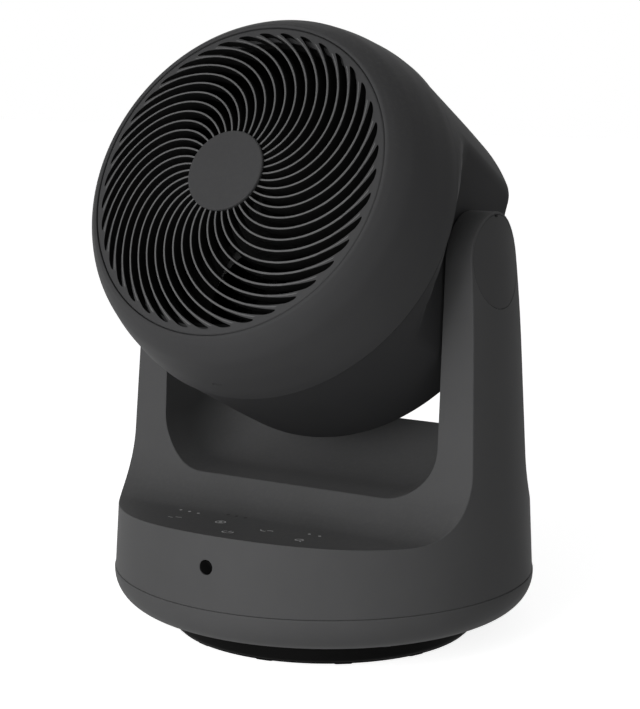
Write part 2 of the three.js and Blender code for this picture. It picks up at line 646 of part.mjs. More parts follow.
// one gap between two vanes: both flanks sweep round as they run out
function vaneSlot(middle) {
  const span = SLOT_OUT - SLOT_IN;
  const steps = 4;
  const [left, right] = [[], []];
  for (let i = 0; i <= steps; i += 1) {
    const t = i / steps;
    const r = SLOT_IN + span * t;
    const sweep = rad(VANE_SWEEP) * t ** 1.5;
    const steep = (r * rad(VANE_SWEEP) * 1.5 * Math.sqrt(t)) / span;
    const vane = (VANE_T * Math.hypot(1, steep)) / (2 * r);
    const narrowing = 1 - Math.max(0, (t - 0.8) / 0.2) ** 2 * 0.55;
    const half = (Math.PI / VANES - vane) * narrowing;
    left.push([r * Math.cos(middle + sweep + half), r * Math.sin(middle + sweep + half)]);
    right.push([r * Math.cos(middle + sweep - half), r * Math.sin(middle + sweep - half)]);
  }
  const tip = SLOT_OUT + 1.2;
  const end = middle + rad(VANE_SWEEP) * 1.03;
  return [...right, [tip * Math.cos(end), tip * Math.sin(end)], ...left.reverse()].reverse();
}

function frontGrille() {
  const slots = Array.from({ length: VANES }, (_, i) => vaneSlot((2 * Math.PI * i) / VANES));
  const dish = (r) => {
    const t = THREE.MathUtils.clamp((r - SLOT_IN) / (GRILLE_R - SLOT_IN), 0, 1);
    return blend(GRILLE_FACE_S, GRILLE_RIM_S, t ** 1.5);
  };
  const back = (r) => (r > SLOT_OUT - 1 ? LEDGE_S + GAP : dish(r) - GRILLE_DEPTH);
  const edge = arcPoints(0, 0, GRILLE_R, 0, 360, FINE).slice(1);
  const at = (height) => (x, y) => height(Math.hypot(x, y));
  return dishedPlate(edge, slots, at(dish), at(back));
}

// the rear grille's radius in a direction: it stops short of the cheeks
function rearEdge(degrees) {
  const cheek = CHEEK_X - WALL - GAP;
  return Math.min(REAR_SEAT_R - GAP, cheek / Math.abs(Math.cos(rad(degrees))));
}

const rearStretch = (degrees) =>
  (rearEdge(degrees) - REAR_ROUND) / (REAR_SEAT_R - GAP - REAR_ROUND);

function rearPoint(r, degrees) {
  const beyond = Math.max(r - REAR_ROUND, 0);
  return polar(Math.min(r, REAR_ROUND) + beyond * rearStretch(degrees), degrees);
}

function rearHeight(x, y) {
  const flat = Math.hypot(x, y);
  const degrees = THREE.MathUtils.radToDeg(Math.atan2(y, x));
  const beyond = Math.max(flat - REAR_ROUND, 0);
  const r = Math.min(flat, REAR_ROUND) + beyond / rearStretch(degrees);
  const at = Math.max(REAR_RINGS.findIndex(([ringR]) => ringR <= r), 1);
  const [[r0, s0], [r1, s1]] = [REAR_RINGS[at - 1], REAR_RINGS[at]];
  return blend(s0, s1, (r0 - r) / (r0 - r1));
}

function rearGrille() {
  const slots = REAR_SLOTS.flatMap(([inner, outer, count]) =>
    Array.from({ length: count }, (_, i) => {
      const middle = (360 * (i + 0.5)) / count;
      return [inner, outer, outer, inner].map((r, corner) => {
        const half = 180 / count - THREE.MathUtils.radToDeg(REAR_RIB / 2 / r);
        return rearPoint(r, middle + (corner < 2 ? half : -half));
      });
    }));
  const edge = Array.from({ length: FINE }, (_, i) => rearPoint(REAR_SEAT_R - GAP, (360 * i) / FINE));
  return dishedPlate(edge, slots, rearHeight, (x, y) => rearHeight(x, y) - REAR_GRILLE_T);
}

// ---------------------------------------------------------------- air tunnel, motor, impeller
const motorScrews = [90, 210, 330].map((a) => polar(MOTOR_SCREW_R, a));

function airTunnel() {
  const outer = TUNNEL_R + TUNNEL_T;
  const front = LEDGE_S - LEDGE_T - GAP;
  const wall = solid(ring([
    [TUNNEL_R, -4],
    [outer, -4],
    [outer, front - TUNNEL_T],
    [TUNNEL_FLANGE_R, front - TUNNEL_T],
    [TUNNEL_FLANGE_R, front],
    [TUNNEL_R + 1.5, front],
  ]));
  const half = MOTOR_PLATE_T / 2;
  const plate = solid(rod(MOTOR_PLATE_R, -half, half, MEDIUM));
  const struts = Array.from({ length: STRUTS }, (_, i) => {
    const strut = box(MOTOR_PLATE_R - 3, TUNNEL_R + 1, -STRUT_W / 2, STRUT_W / 2, -4, half + 2);
    return solid(strut.rotateZ(rad(18 + (360 * i) / STRUTS)));
  });
  const holes = motorScrews.map(([x, y]) => solid(rod(1.7, -5, 5).translate(x, y, 0)));
  return toGeometry(cut(join(wall, plate, ...struts), ...holes));
}

function motorBody() {
  const can = solid(turned([
    [0, 0],
    [MOTOR_R, 0],
    [MOTOR_R, MOTOR_L - 2],
    [MOTOR_R - 2, MOTOR_L],
    [0, MOTOR_L],
  ], MEDIUM));
  const bore = solid(rod(SHAFT_R + GAP, MOTOR_L - 14, MOTOR_L + 1));
  const holes = motorScrews.map(([x, y]) => solid(rod(1.7, -1, 9).translate(x, y, 0)));
  return toGeometry(cut(can, bore, ...holes));
}

// one twisted blade: thin sections at growing radius, wrapped round the axis
function blade() {
  const [rings, across] = [4, 4];
  const rows = [];
  for (let j = 0; j <= rings; j += 1) {
    const t = j / rings;
    const r = blend(IMPELLER_HUB_R - 1.5, IMPELLER_R, t);
    const low = blend(IMPELLER_BACK_S + 4, IMPELLER_BACK_S + 10, t);
    const high = blend(IMPELLER_FRONT_S - 4, IMPELLER_FRONT_S - 8, t);
    const turn = rad(blend(34, 46, t));
    const lead = rad(18) * t ** 1.3;
    const side = (offset) => Array.from({ length: across + 1 }, (_, i) => {
      const u = i / across;
      const a = lead + turn * (u - 0.5) + 0.1 * Math.sin(Math.PI * u);
      return [r * Math.cos(a), r * Math.sin(a), blend(low, high, u) + offset];
    });
    rows.push([...side(-BLADE_T / 2), ...side(BLADE_T / 2).reverse()]);
  }
  return skinned(rows);
}

// closes a stack of equal loops into a solid
function skinned(rows) {
  const count = rows[0].length;
  const index = [];
  for (let j = 0; j + 1 < rows.length; j += 1) {
    for (let i = 0; i < count; i += 1) {
      const [a, b] = [j * count + i, j * count + ((i + 1) % count)];
      index.push(a, b, b + count, a, b + count, a + count);
    }
  }
  const last = (rows.length - 1) * count;
  for (let i = 0; i < count / 2 - 1; i += 1) {
    const [a, b, c, d] = [i, i + 1, count - 2 - i, count - 1 - i];
    index.push(a, c, b, a, d, c);
    index.push(last + a, last + b, last + c, last + a, last + c, last + d);
  }
  const geometry = new THREE.BufferGeometry();
  geometry.setAttribute('position', new THREE.Float32BufferAttribute(rows.flat(2), 3));
  geometry.setIndex(index);
  return geometry;
}

function impeller() {
  const inner = IMPELLER_HUB_R - IMPELLER_HUB_T;
  const hub = solid(ring([
    [SHAFT_R + GAP, IMPELLER_FRONT_S - IMPELLER_HUB_T],
    [inner - 3, IMPELLER_FRONT_S - IMPELLER_HUB_T],
    [inner, IMPELLER_FRONT_S - IMPELLER_HUB_T - 3],
    [inner, IMPELLER_BACK_S],
    [IMPELLER_HUB_R, IMPELLER_BACK_S],
    [IMPELLER_HUB_R, IMPELLER_FRONT_S - 4],
    [IMPELLER_HUB_R - 4, IMPELLER_FRONT_S],
    [SHAFT_R + GAP, IMPELLER_FRONT_S],
  ], 24));
  const blades = Array.from({ length: BLADES }, (_, i) =>
    solid(blade().rotateZ((2 * Math.PI * i) / BLADES)));
  return toGeometry(join(hub, ...blades));
}

function spinnerNut() {
  const start = IMPELLER_FRONT_S + GAP;
  const bore = SHAFT_R + GAP;
  const end = SHAFT_TIP_S + GAP;
  return turned([
    [0, end],
    [bore, end],
    [bore, start],
    [NUT_R, start],
    [NUT_R, end],
    [NUT_R - 2.5, end + 2.5],
    [0, end + 3],
  ], 16);
}

// ---------------------------------------------------------------- trunnions, along +X
function trunnion() {
  const flange = CHEEK_INNER - GAP;
  const bore = PIVOT_SCREW_R + GAP;
  return ring([
    [bore, flange - TRUNNION_FLANGE_T],
    [TRUNNION_FLANGE_R, flange - TRUNNION_FLANGE_T],
    [TRUNNION_FLANGE_R, flange],
    [TRUNNION_R, flange],
    [TRUNNION_R, TRUNNION_SHOULDER],
    [TRUNNION_NECK_R, TRUNNION_SHOULDER],
    [TRUNNION_NECK_R, TRUNNION_END],
    [bore, TRUNNION_END],
  ], MEDIUM);
}

function bushing() {
  const bore = TRUNNION_R + GAP;
  const seat = ARM_INNER + GAP;
  return ring([
    [bore, CHANNEL_HALF + 0.1],
    [BUSH_R, CHANNEL_HALF + 0.1],
    [BUSH_R, seat],
    [BUSH_FLANGE_R, seat],
    [BUSH_FLANGE_R, seat + BUSH_FLANGE_T],
    [bore, seat + BUSH_FLANGE_T],
  ], MEDIUM);
}

// ---------------------------------------------------------------- the assembly
const group = new THREE.Group();
const head = new THREE.Group();
head.position.set(0, 0, PIVOT_Z);
head.rotation.x = Math.PI / 2 - rad(TILT);
group.add(head);

function add(parent, name, geometry, material) {
  const mesh = new THREE.Mesh(clean(geometry), material);
  mesh.name = name;
  parent.add(mesh);
  return mesh;
}

// turns a piece modelled along +Z to lie along X, outwards on the given side
function along(mesh, side, height) {
  mesh.rotation.y = (side * Math.PI) / 2;
  mesh.position.z = height;
  return mesh;
}

const SIDES = [['left', -1], ['right', 1]];

function addFoot() {
  add(group, 'swivel_foot', swivelFoot(), BLACK);
  add(group, 'foot_tread', footTread(), RUBBER);
  const slide = tube(SLIDE_R - SLIDE_W, SLIDE_R, 0, SLIDE_H, 32);
  add(group, 'slide_ring', slide, NYLON).position.z = FOOT_TOP + GAP;
  const bore = SPINDLE_SCREW_R + GAP;
  add(group, 'swivel_gear', gear(SWIVEL_MODULE, SWIVEL_TEETH, SWIVEL_FACE, bore), NYLON).position.z = SWIVEL_GEAR_Z;
  const length = SWIVEL_GEAR_TOP + GAP - TREAD_H - 2 * WALL;
  const spindleScrew = add(group, 'spindle_screw', screw(5, 2.8, SPINDLE_SCREW_R, length), STEEL);
  spindleScrew.rotation.x = Math.PI;
  spindleScrew.position.z = SWIVEL_GEAR_TOP + GAP;
}

function addBaseShells() {
  add(group, 'lower_shell', toGeometry(lowerShell()), SHELL);
  add(group, 'upper_shell', toGeometry(upperShell()), SHELL);
  for (const [name, side] of SIDES) add(group, `pivot_cap_${name}`, pivotCap(side), SHELL);
  screwPlaces.forEach(([x, y], i) => {
    const length = SEAM_Z - PAN_Z;
    const mesh = add(group, `shell_screw_${i + 1}`, screw(3.5, 2, 1.5, length), STEEL);
    mesh.position.set(x, y, PAN_Z + 3.6 - GAP);
  });
}

function addElectrics() {
  const half = CONTROL_W / 2;
  const [front, back] = [CONTROL_FRONT_Y, CONTROL_BACK_Y];
  add(group, 'control_board', box(-half, half, front, back, CONTROL_Z, CONTROL_Z + BOARD), PCB);
  const receiver = box(-3.5, 3.5, front - 5, front + 3, IR_Z - 3.8, CONTROL_Z - GAP);
  add(group, 'ir_receiver', receiver, BLACK);
  add(group, 'ir_window', irWindow(), LENS);
  add(group, 'dc_inlet', powerInlet(), BLACK);
  const [w, d] = POWER_BOARD;
  const powerBoard = new THREE.BoxGeometry(w, d, BOARD);
  add(group, 'power_board', powerBoard, PCB).position.set(
    ...POWER_BOARD_AT,
    PAN_FLOOR + 6 + GAP + BOARD / 2,
  );
}

function addSwivelDrive() {
  const pinion = gear(SWIVEL_MODULE, SWIVEL_PINION_TEETH, SWIVEL_FACE, 1.5 + GAP);
  const half = Math.PI / SWIVEL_PINION_TEETH;
  const mesh = add(group, 'swivel_pinion', pinion, NYLON);
  mesh.rotation.z = -Math.PI / 2 + half;
  mesh.position.set(0, SWIVEL_CENTRES, SWIVEL_GEAR_Z);
  add(group, 'swivel_motor', swivelMotor(), STEEL).position.set(0, SWIVEL_CENTRES, SWIVEL_MOTOR_Z);
  [-SWIVEL_EAR_X, SWIVEL_EAR_X].forEach((x, i) => {
    const bolt = add(group, `swivel_motor_screw_${i + 1}`, screw(2.8, 1.8, 1.3, 8), STEEL);
    bolt.rotation.x = Math.PI;
    bolt.position.set(x, SWIVEL_CENTRES, SWIVEL_MOTOR_Z + EAR_T + GAP);
  });
}

function addTiltDrive() {
  const motor = along(add(group, 'tilt_motor', tiltMotor(), STEEL), 1, TILT_MOTOR_Z);
  motor.position.x = TILT_MOTOR_X;
  const pinion = gear(TILT_MODULE, TILT_PINION_TEETH, TILT_FACE, 1.2 + GAP);
  const mesh = along(add(group, 'tilt_pinion', pinion, NYLON), 1, TILT_MOTOR_Z);
  mesh.position.x = TILT_GEAR_X;
  mesh.geometry.rotateZ(Math.PI / TILT_PINION_TEETH);
  [-TILT_EAR_Y, TILT_EAR_Y].forEach((y, i) => {
    const bolt = add(group, `tilt_motor_screw_${i + 1}`, screw(2.3, 1.2, 0.9, 5), STEEL);
    bolt.rotation.y = -Math.PI / 2;
    bolt.position.set(TILT_MOTOR_X + EAR_T + GAP, y, TILT_MOTOR_Z);
  });
}

function addPivots() {
  for (const [name, side] of SIDES) {
    along(add(group, `pivot_bushing_${name}`, bushing(), NYLON), side, PIVOT_Z);
    along(add(head, `trunnion_${name}`, trunnion(), BLACK), side, 0);
    const bolt = screw(PIVOT_SCREW_HEAD_R, PIVOT_SCREW_HEAD_T, PIVOT_SCREW_R, 12);
    const mesh = along(add(head, `pivot_screw_${name}`, bolt, STEEL), -side, 0);
    mesh.position.x = side * (TILT_GEAR_END + GAP);
  }
  const collar = tube(TRUNNION_NECK_R + GAP, COLLAR_R, TILT_GEAR_X, TILT_GEAR_END);
  along(add(head, 'trunnion_collar', collar, NYLON), -1, 0);
  const tiltGear = gear(TILT_MODULE, TILT_TEETH, TILT_FACE, TRUNNION_NECK_R + GAP).translate(0, 0, TILT_GEAR_X);
  const mesh = along(add(head, 'tilt_gear', tiltGear, NYLON), 1, 0);
  mesh.geometry.rotateZ(rad(TILT));
}

function addHead() {
  add(head, 'front_shell', frontShell(), SHELL);
  add(head, 'rear_shell', rearShell(), REAR);
  add(head, 'front_grille', frontGrille(), GRILLE);
  const disc = turned([
    [0, 0],
    [HUB_R - 0.4, 0],
    [HUB_R, 0.4],
    [HUB_R, HUB_T - 0.5],
    [HUB_R - 0.6, HUB_T],
    [0, HUB_T],
  ], 32);
  add(head, 'hub_disc', disc, SHELL).position.z = GRILLE_FACE_S + GAP;
  add(head, 'rear_grille', rearGrille(), BLACK);
  headScrews.forEach(([x, y], i) => {
    const bolt = add(head, `head_screw_${i + 1}`, screw(3.2, 2.2, 1.4, 34), STEEL);
    bolt.position.set(x, y, 30 - GAP);
  });
}

function addBlower() {
  add(head, 'air_tunnel', airTunnel(), BLACK);
  add(head, 'motor_body', motorBody(), STEEL).position.z = MOTOR_S;
  motorScrews.forEach(([x, y], i) => {
    const bolt = add(head, `motor_screw_${i + 1}`, screw(2.8, 1.8, 1.4, 9), STEEL);
    bolt.position.set(x, y, -MOTOR_PLATE_T / 2 - GAP);
  });
  add(head, 'motor_shaft', rod(SHAFT_R, MOTOR_S + MOTOR_L - 13, SHAFT_TIP_S, 16), STEEL);
  add(head, 'impeller', impeller(), FAN);
  add(head, 'spinner_nut', spinnerNut(), FAN);
}

addFoot();
addBaseShells();
addElectrics();
addSwivelDrive();
addTiltDrive();
addPivots();
addHead();
addBlower();

export default group;
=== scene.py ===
"""The looks of a table-top air circulator, built round its packed CAD frame.

Sizes in the code are millimetres, as in the CAD; meshes are written in metres. The front faces -Y, +Z is up.
"""

import math

import bmesh
import bpy
import numpy as np
from mathutils import Matrix, Vector


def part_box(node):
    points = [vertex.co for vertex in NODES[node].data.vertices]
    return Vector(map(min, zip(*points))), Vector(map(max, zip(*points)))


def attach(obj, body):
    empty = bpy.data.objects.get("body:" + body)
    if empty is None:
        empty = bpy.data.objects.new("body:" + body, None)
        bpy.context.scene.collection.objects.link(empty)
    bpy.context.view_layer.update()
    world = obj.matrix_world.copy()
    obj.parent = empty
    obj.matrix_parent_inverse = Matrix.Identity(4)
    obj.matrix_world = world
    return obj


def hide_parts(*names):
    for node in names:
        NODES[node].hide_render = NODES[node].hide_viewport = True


bl_info = {
    "name": "Air Circulator",
    "version": (1, 0, 0),
    "blender": (4, 5, 0),
    "location": "3D View > Sidebar > Fan",
    "description": "Builds a table-top air circulator round its packed CAD frame",
    "category": "Add Mesh",
}

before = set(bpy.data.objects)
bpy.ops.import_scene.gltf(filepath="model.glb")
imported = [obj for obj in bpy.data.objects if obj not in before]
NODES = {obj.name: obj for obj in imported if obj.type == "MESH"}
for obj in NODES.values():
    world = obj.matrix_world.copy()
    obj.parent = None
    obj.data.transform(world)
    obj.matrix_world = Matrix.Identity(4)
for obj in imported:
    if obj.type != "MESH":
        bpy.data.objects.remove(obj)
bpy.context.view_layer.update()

# ------------------------------------------------------------ sizes shared with the CAD, in millimetres
GAP = 0.3
WALL = 2.6
SEAM_Z = 35.2
DRUM_R = 118.4
DRUM_TAPER = 0.0547
CROWN_Z = 165.0
CROWN_R = 1000.0
LIP = 0.5
SCOOP_R = 36.0
ARM_HALF = 26.4
ARM_SPREAD = 0.05
PIVOT_Z = 212.8
CHANNEL_HALF = 88.5
CHANNEL_Z = 86.3
CHANNEL_CORNER = 29.3
SADDLE_FLAT_Y = -12.6
SADDLE_SWEEP_R = 47.3
CAP_R = 24.9
BUSH_R = 11.0
TILT = math.radians(26.1)
HEAD_SPLIT = 53.0
HEAD_R = 104.0
CHEEK_X = 87.2
CHEEK_FRONT_S = 34.0
CHEEK_BEVEL_S = 52.0
REAR_S = -31.0
REAR_SEAT_S = -28.0
REAR_SEAT_R = 93.5
REAR_LEDGE_W = 5.0
GRILLE_R = 85.1
GRILLE_RIM_S = 101.0
GRILLE_FACE_S = 109.4
LEDGE_S = 95.5
LEDGE_R = 79.5
LEDGE_T = 2.2
HUB_R = 22.0
HUB_T = 1.8
IR_Z = 57.3
IR_R = 3.9
INLET_Z = 50.0
INLET_COLLAR_R = 6.0
INLET_BORE_R = 3.2
INLET_PIN_R = 1.0
INLET_REACH_Y = 124.4
SHELL_SCREW_R = 99.0
SHELL_SCREW_ANGLES = (40, 140, 220, 320)
FOOT_TOP = 12.2
SPINDLE_R = 13.0
SPINDLE_TOP = 24.0
TREAD_T = 1.2
TREAD_PADS = 12
TUNNEL_R = 77.5
TUNNEL_BORE_R = 75.3
TUNNEL_FLANGE_R = 88.0
TUNNEL_FRONT_S = 93.0
ROTOR_HUB_R = 31.0
BLADES = 7
BLADE_TIP_R = 72.5
NUT_R = 6.5

# ------------------------------------------------------------ own and refined sizes, in millimetres
PAN_EDGE_R = 100.8
PAN_Z = 15.1
DECK_LOW = 70.4
DECK_RIM = 74.4
FOOT_R = 86.5
TREAD_W = 10.0
IR_FLANGE_R = 5.4
INLET_FLANGE_Y = 110.0
SEAM_SLIT = 0.12
FIT_SLIT = 0.12
MARK_LIFT = 0.05
MARK_T = 0.04

# the head's outline as (along the axis, radius): from the split to the front rim, and back to the rear edge
FRONT_KNOTS = [(53, 104), (60, 103.4), (67.4, 102), (75, 100.4), (83, 98), (89, 95.9), (93.8, 93.2)]
FRONT_KNOTS += [(97.5, 90.6), (99.6, 88.6)]
REAR_KNOTS = [(52.7, 103.7), (30, 103.3), (0, 102.8), (-20, 102.2), (-28, 101.8), (-30.3, 101.0)]
REAR_LEAN = 4.5
REAR_LEAN_FROM = 20.0

# the front grille's vanes start under the hub disc and run into the web of the outer band
VANE_IN_R = 0.2565 * GRILLE_R
VANE_SPAN = 0.6535 * GRILLE_R
WEB_R = 73.0
GAP_END_R = 82.2
GAP_ROUND = 0.9

# the rear grille's basket as (radius, along the axis); inside REAR_ROUND it is round in plan
REAR_RINGS = [(93.2, -28.3), (92.6, -34), (90.5, -38.5), (86, -43), (78, -47.4), (62, -52.6), (30, -58)]
REAR_RINGS += [(0, -58)]
REAR_ROUND = 62.0
REAR_HOOPS = (34.5, 39.5, 44.5, 49.5, 67.5, 71.8, 76, 80.2, 83.9, 87.2)
REAR_HOOP_HALF = 0.9
REAR_RIB_W = 2.5
REAR_INNER_RIB_W = 1.9

LEAN = math.atan(ARM_SPREAD)
SCOOP_Z = DECK_LOW + SCOOP_R
SCOOP_Y = (ARM_HALF + SCOOP_R - (SCOOP_Z - PIVOT_Z) * math.sin(LEAN)) / math.cos(LEAN)
DECK_SPAN = DRUM_R - DRUM_TAPER * (DECK_RIM - SEAM_Z) - SCOOP_Y
DECK_RISE = DECK_RIM - DECK_LOW
DECK_R = (DECK_SPAN**2 + DECK_RISE**2) / (2 * DECK_RISE)

HEAD_MATRIX = Matrix.Translation((0, 0, PIVOT_Z)) @ Matrix.Rotation(math.pi / 2 - TILT, 4, "X")
# places a prism whose outline is drawn in (y, z) and whose depth runs along x
SIDE_VIEW = Matrix(((0, 0, 1, 0), (1, 0, 0, 0), (0, 1, 0, 0), (0, 0, 0, 1)))
# places a prism whose outline is drawn in (x, z) and whose depth runs along -y
FRONT_VIEW = Matrix(((1, 0, 0, 0), (0, 0, -1, 0), (0, 1, 0, 0), (0, 0, 0, 1)))


# ------------------------------------------------------------ user settings
def _length(name, description, default):
    return bpy.props.FloatProperty(
        name=name, description=description, default=default, unit="LENGTH", precision=4
    )


def _colour(name, description, default):
    return bpy.props.FloatVectorProperty(
        name=name, description=description, default=default, size=3, min=0, max=1, subtype="COLOR"
    )


class FanSizes(bpy.types.PropertyGroup):
    """Sizes of the details that a user would change."""

    edge_round: _length("Edge round", "Rounding of the moulded edges", 0.0007)
    vane_thickness: _length("Vane thickness", "Thickness of one vane of the front grille", 0.0013)
    vane_depth: _length("Vane depth", "Depth of one vane of the front grille", 0.0085)
    mark_line: _length("Mark line", "Line width of the printed icons", 0.0006)
    vane_count: bpy.props.IntProperty(
        name="Vanes", description="Vanes in the front grille", default=40, min=8
    )
    vane_sweep: bpy.props.FloatProperty(
        name="Vane sweep",
        description="Angle that a vane turns through from hub to rim",
        default=math.radians(56),
        subtype="ANGLE",
    )
    rear_ribs: bpy.props.IntProperty(
        name="Rear ribs", description="Ribs round the rear grille", default=104, min=8
    )


class FanColours(bpy.types.PropertyGroup):
    """Base colours, linear."""

    shell: _colour("Shell", "Base, arms and deck", (0.074, 0.074, 0.075))
    head: _colour("Head", "Front shell of the head", (0.045, 0.045, 0.046))
    rear: _colour("Rear housing", "Rear shell of the head", (0.034, 0.034, 0.035))
    grille: _colour("Grille", "Outer band of the front grille", (0.046, 0.046, 0.047))
    # painted highlight: the vane tops are the grille band's plastic, painted lighter where light catches them
    vane: _colour("Vane top highlight", "Painted highlight on the rounded tops of the vanes", (0.115, 0.115, 0.116))
    # painted shade: the flanks of the vanes and the walls of the grille's gaps take this near-black in place
    # of their plastic's own colour
    flank_shade: _colour("Vane flank shade", "Painted shade on the deep sides of the vanes", (0.008, 0.008, 0.008))
    black: _colour("Black plastic", "Foot, rear grille, tunnel and inlet", (0.004, 0.004, 0.004))
    rotor: _colour("Rotor", "Impeller and its nut", (0.006, 0.006, 0.006))
    rubber: _colour("Rubber", "Tread under the foot", (0.006, 0.006, 0.006))
    mark: _colour("Marks", "Printed icons", (0.55, 0.55, 0.55))
    mark_dark: _colour("Dim marks", "Unlit dots and the ring round an icon", (0.02, 0.02, 0.02))
    steel: _colour("Steel", "Screws, shaft and motor cans", (0.42, 0.42, 0.43))
    nylon: _colour("Nylon", "Gears and bearings", (0.68, 0.66, 0.60))
    board: _colour("Board", "Circuit boards", (0.012, 0.07, 0.035))


def sizes():
    return bpy.context.scene.fan_sizes


def colours():
    return bpy.context.scene.fan_colours


# ------------------------------------------------------------ mesh tools
def arc(cx, cy, r, start, end, steps):
    """Points on an arc, angles in degrees."""
    angles = np.radians(np.linspace(start, end, steps + 1))
    return [(cx + r * math.cos(a), cy + r * math.sin(a)) for a in angles]


def make(name, verts, faces, matrix=None):
    """A mesh object from millimetre vertices, welded, with its normals turned outwards."""
    mesh = bpy.data.meshes.new(name)
    mesh.from_pydata([tuple(v) for v in verts], [], faces)
    if matrix is not None:
        mesh.transform(matrix)
    mesh.transform(Matrix.Scale(0.001, 4))
    obj = bpy.data.objects.new(name, mesh)
    bpy.context.scene.collection.objects.link(obj)
    mesh.validate()
    _weld(mesh, 1e-7)
    return obj


def _weld(mesh, distance):
    """Welds vertices nearer than a distance in metres, and turns all normals outwards."""
    bm = bmesh.new()
    bm.from_mesh(mesh)
    bmesh.ops.remove_doubles(bm, verts=bm.verts, dist=distance)
    bmesh.ops.recalc_face_normals(bm, faces=bm.faces)
    bm.to_mesh(mesh)
    bm.free()


def lathe(name, profile, segments=192, matrix=None, closed=False):
    """Turns a profile of (radius, height) about Z. A closed profile goes round a bore."""
    points = list(profile) + ([profile[0]] if closed else [])
    verts = []
    for i in range(segments):
        c, s = math.cos(2 * math.pi * i / segments), math.sin(2 * math.pi * i / segments)
        verts += [(r * c, r * s, z) for r, z in points]
    n = len(points)
    faces = []
    for i in range(segments):
        a, b = i * n, ((i + 1) % segments) * n
        faces += [(a + j, b + j, b + j + 1, a + j + 1) for j in range(n - 1)]
    return make(name, verts, faces, matrix)


def extrude(name, points, low, high, matrix=None):
    """A prism of an outline in XY, from low to high along Z."""
    n = len(points)
    verts = [(x, y, low) for x, y in points] + [(x, y, high) for x, y in points]
    faces = [tuple(range(n))[::-1], tuple(range(n, 2 * n))]
    faces += [(i, (i + 1) % n, n + (i + 1) % n, n + i) for i in range(n)]
    return make(name, verts, faces, matrix)


def loft(name, rows, matrix=None):
    """A closed solid through loops of equal length."""
    n = len(rows[0])
    verts = [p for row in rows for p in row]
    faces = []
    for j in range(len(rows) - 1):
        a, b = j * n, (j + 1) * n
        faces += [(a + i, a + (i + 1) % n, b + (i + 1) % n, b + i) for i in range(n)]
    last = (len(rows) - 1) * n
    faces += [tuple(range(n))[::-1], tuple(range(last, last + n))]
    return make(name, verts, faces, matrix)


def along_x(x, y, z):
    """Places a piece modelled along +Z so that it runs along +X from there."""
    return Matrix.Translation((x, y, z)) @ Matrix.Rotation(math.pi / 2, 4, "Y")


def along_y(x, y, z):
    """The same along +Y."""
    return Matrix.Translation((x, y, z)) @ Matrix.Rotation(-math.pi / 2, 4, "X")


def rod(name, r, low, high, matrix=None, segments=64):
    return lathe(name, [(0, low), (r, low), (r, high), (0, high)], segments, matrix)


def apply(obj):
    """Bakes the object's modifiers into its mesh."""
    depsgraph = bpy.context.evaluated_depsgraph_get()
    mesh = bpy.data.meshes.new_from_object(obj.evaluated_get(depsgraph))
    old = obj.data
    obj.modifiers.clear()
    obj.data = mesh
    bpy.data.meshes.remove(old)
    return obj


def boolean(obj, operation, *others):
    """Joins, cuts or intersects obj with the others, which are used up."""
    for other in others:
        modifier = obj.modifiers.new("Boolean", "BOOLEAN")
        modifier.operation = operation
        modifier.solver = "MANIFOLD"
        modifier.object = other
        apply(obj)
        bpy.data.objects.remove(other)
    if not obj.data.polygons:
        raise RuntimeError(f"{obj.name} came out empty")
    return obj


def cut(obj, *others):
    return boolean(obj, "DIFFERENCE", *others)


def union(obj, *others):
    return boolean(obj, "UNION", *others)


def true_normals(obj, surface):
    """Gives faces that lie on a known surface its exact normals: surface(point) is a normal or None."""
    mesh = obj.data
    normals = [Vector(corner.vector) for corner in mesh.corner_normals]
    for polygon in mesh.polygons:
        for i in polygon.loop_indices:
            exact = surface(mesh.vertices[mesh.loops[i].vertex_index].co)
            if exact is not None and exact.dot(polygon.normal) > 0.97:
                normals[i] = exact
    mesh.normals_split_custom_set(normals)


def finish(obj, material, body, *nodes, bevel=None, angle=32, slot=None, holes=(), surface=None):
    """Rounds the edges, cuts sharp-edged holes, shades, paints and hands the piece to the frame."""
    width = sizes().edge_round if bevel is None else bevel
    if width:
        _weld(obj.data, 0.00012)
        modifier = obj.modifiers.new("Bevel", "BEVEL")
        modifier.width = width
        modifier.segments = 2
        modifier.limit_method = "ANGLE"
        modifier.angle_limit = math.radians(angle)
        modifier.use_clamp_overlap = False
        modifier.miter_outer = "MITER_ARC"
        apply(obj)
    cut(obj, *holes)
    obj.data.materials.clear()
    obj.data.materials.append(material)
    for polygon in obj.data.polygons:
        polygon.use_smooth = True
    obj.data.set_sharp_from_angle(angle=math.radians(angle + 4))
    modifier = obj.modifiers.new("Weighted normals", "WEIGHTED_NORMAL")
    modifier.keep_sharp = True
    modifier.weight = 60
    apply(obj)
    if surface:
        true_normals(obj, surface)
    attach(obj, body)
    if nodes:
        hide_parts(*nodes)
    return obj


# ------------------------------------------------------------ shader groups
def _group(name, inputs, outputs):
    group = bpy.data.node_groups.new(name, "ShaderNodeTree")
    for label, kind, default in inputs:
        socket = group.interface.new_socket(name=label, in_out="INPUT", socket_type=kind)
        socket.default_value = default
    for label, kind in outputs:
        group.interface.new_socket(name=label, in_out="OUTPUT", socket_type=kind)
    return group, group.nodes.new("NodeGroupInput"), group.nodes.new("NodeGroupOutput")


def _node(tree, kind, links=(), **settings):
    node = tree.nodes.new(kind)
    for key, value in settings.items():
        if key in node.bl_rna.properties:
            setattr(node, key, value)
        else:
            node.inputs[key.replace("_", " ")].default_value = value
    for socket, source in links:
        tree.links.new(source, node.inputs[socket])
    return node


def _noise(group, scale, detail, roughness):
    """Noise in the object's own space."""
    place = _node(group, "ShaderNodeTexCoord")
    links = [("Vector", place.outputs["Object"]), ("Scale", scale)]
    return _node(group, "ShaderNodeTexNoise", links, Detail=detail, Roughness=roughness).outputs["Fac"]


def _math(tree, operation, *sources):
    node = _node(tree, "ShaderNodeMath", operation=operation)
    for socket, source in zip(node.inputs, sources):
        tree.links.new(source, socket)
    return node.outputs["Value"]


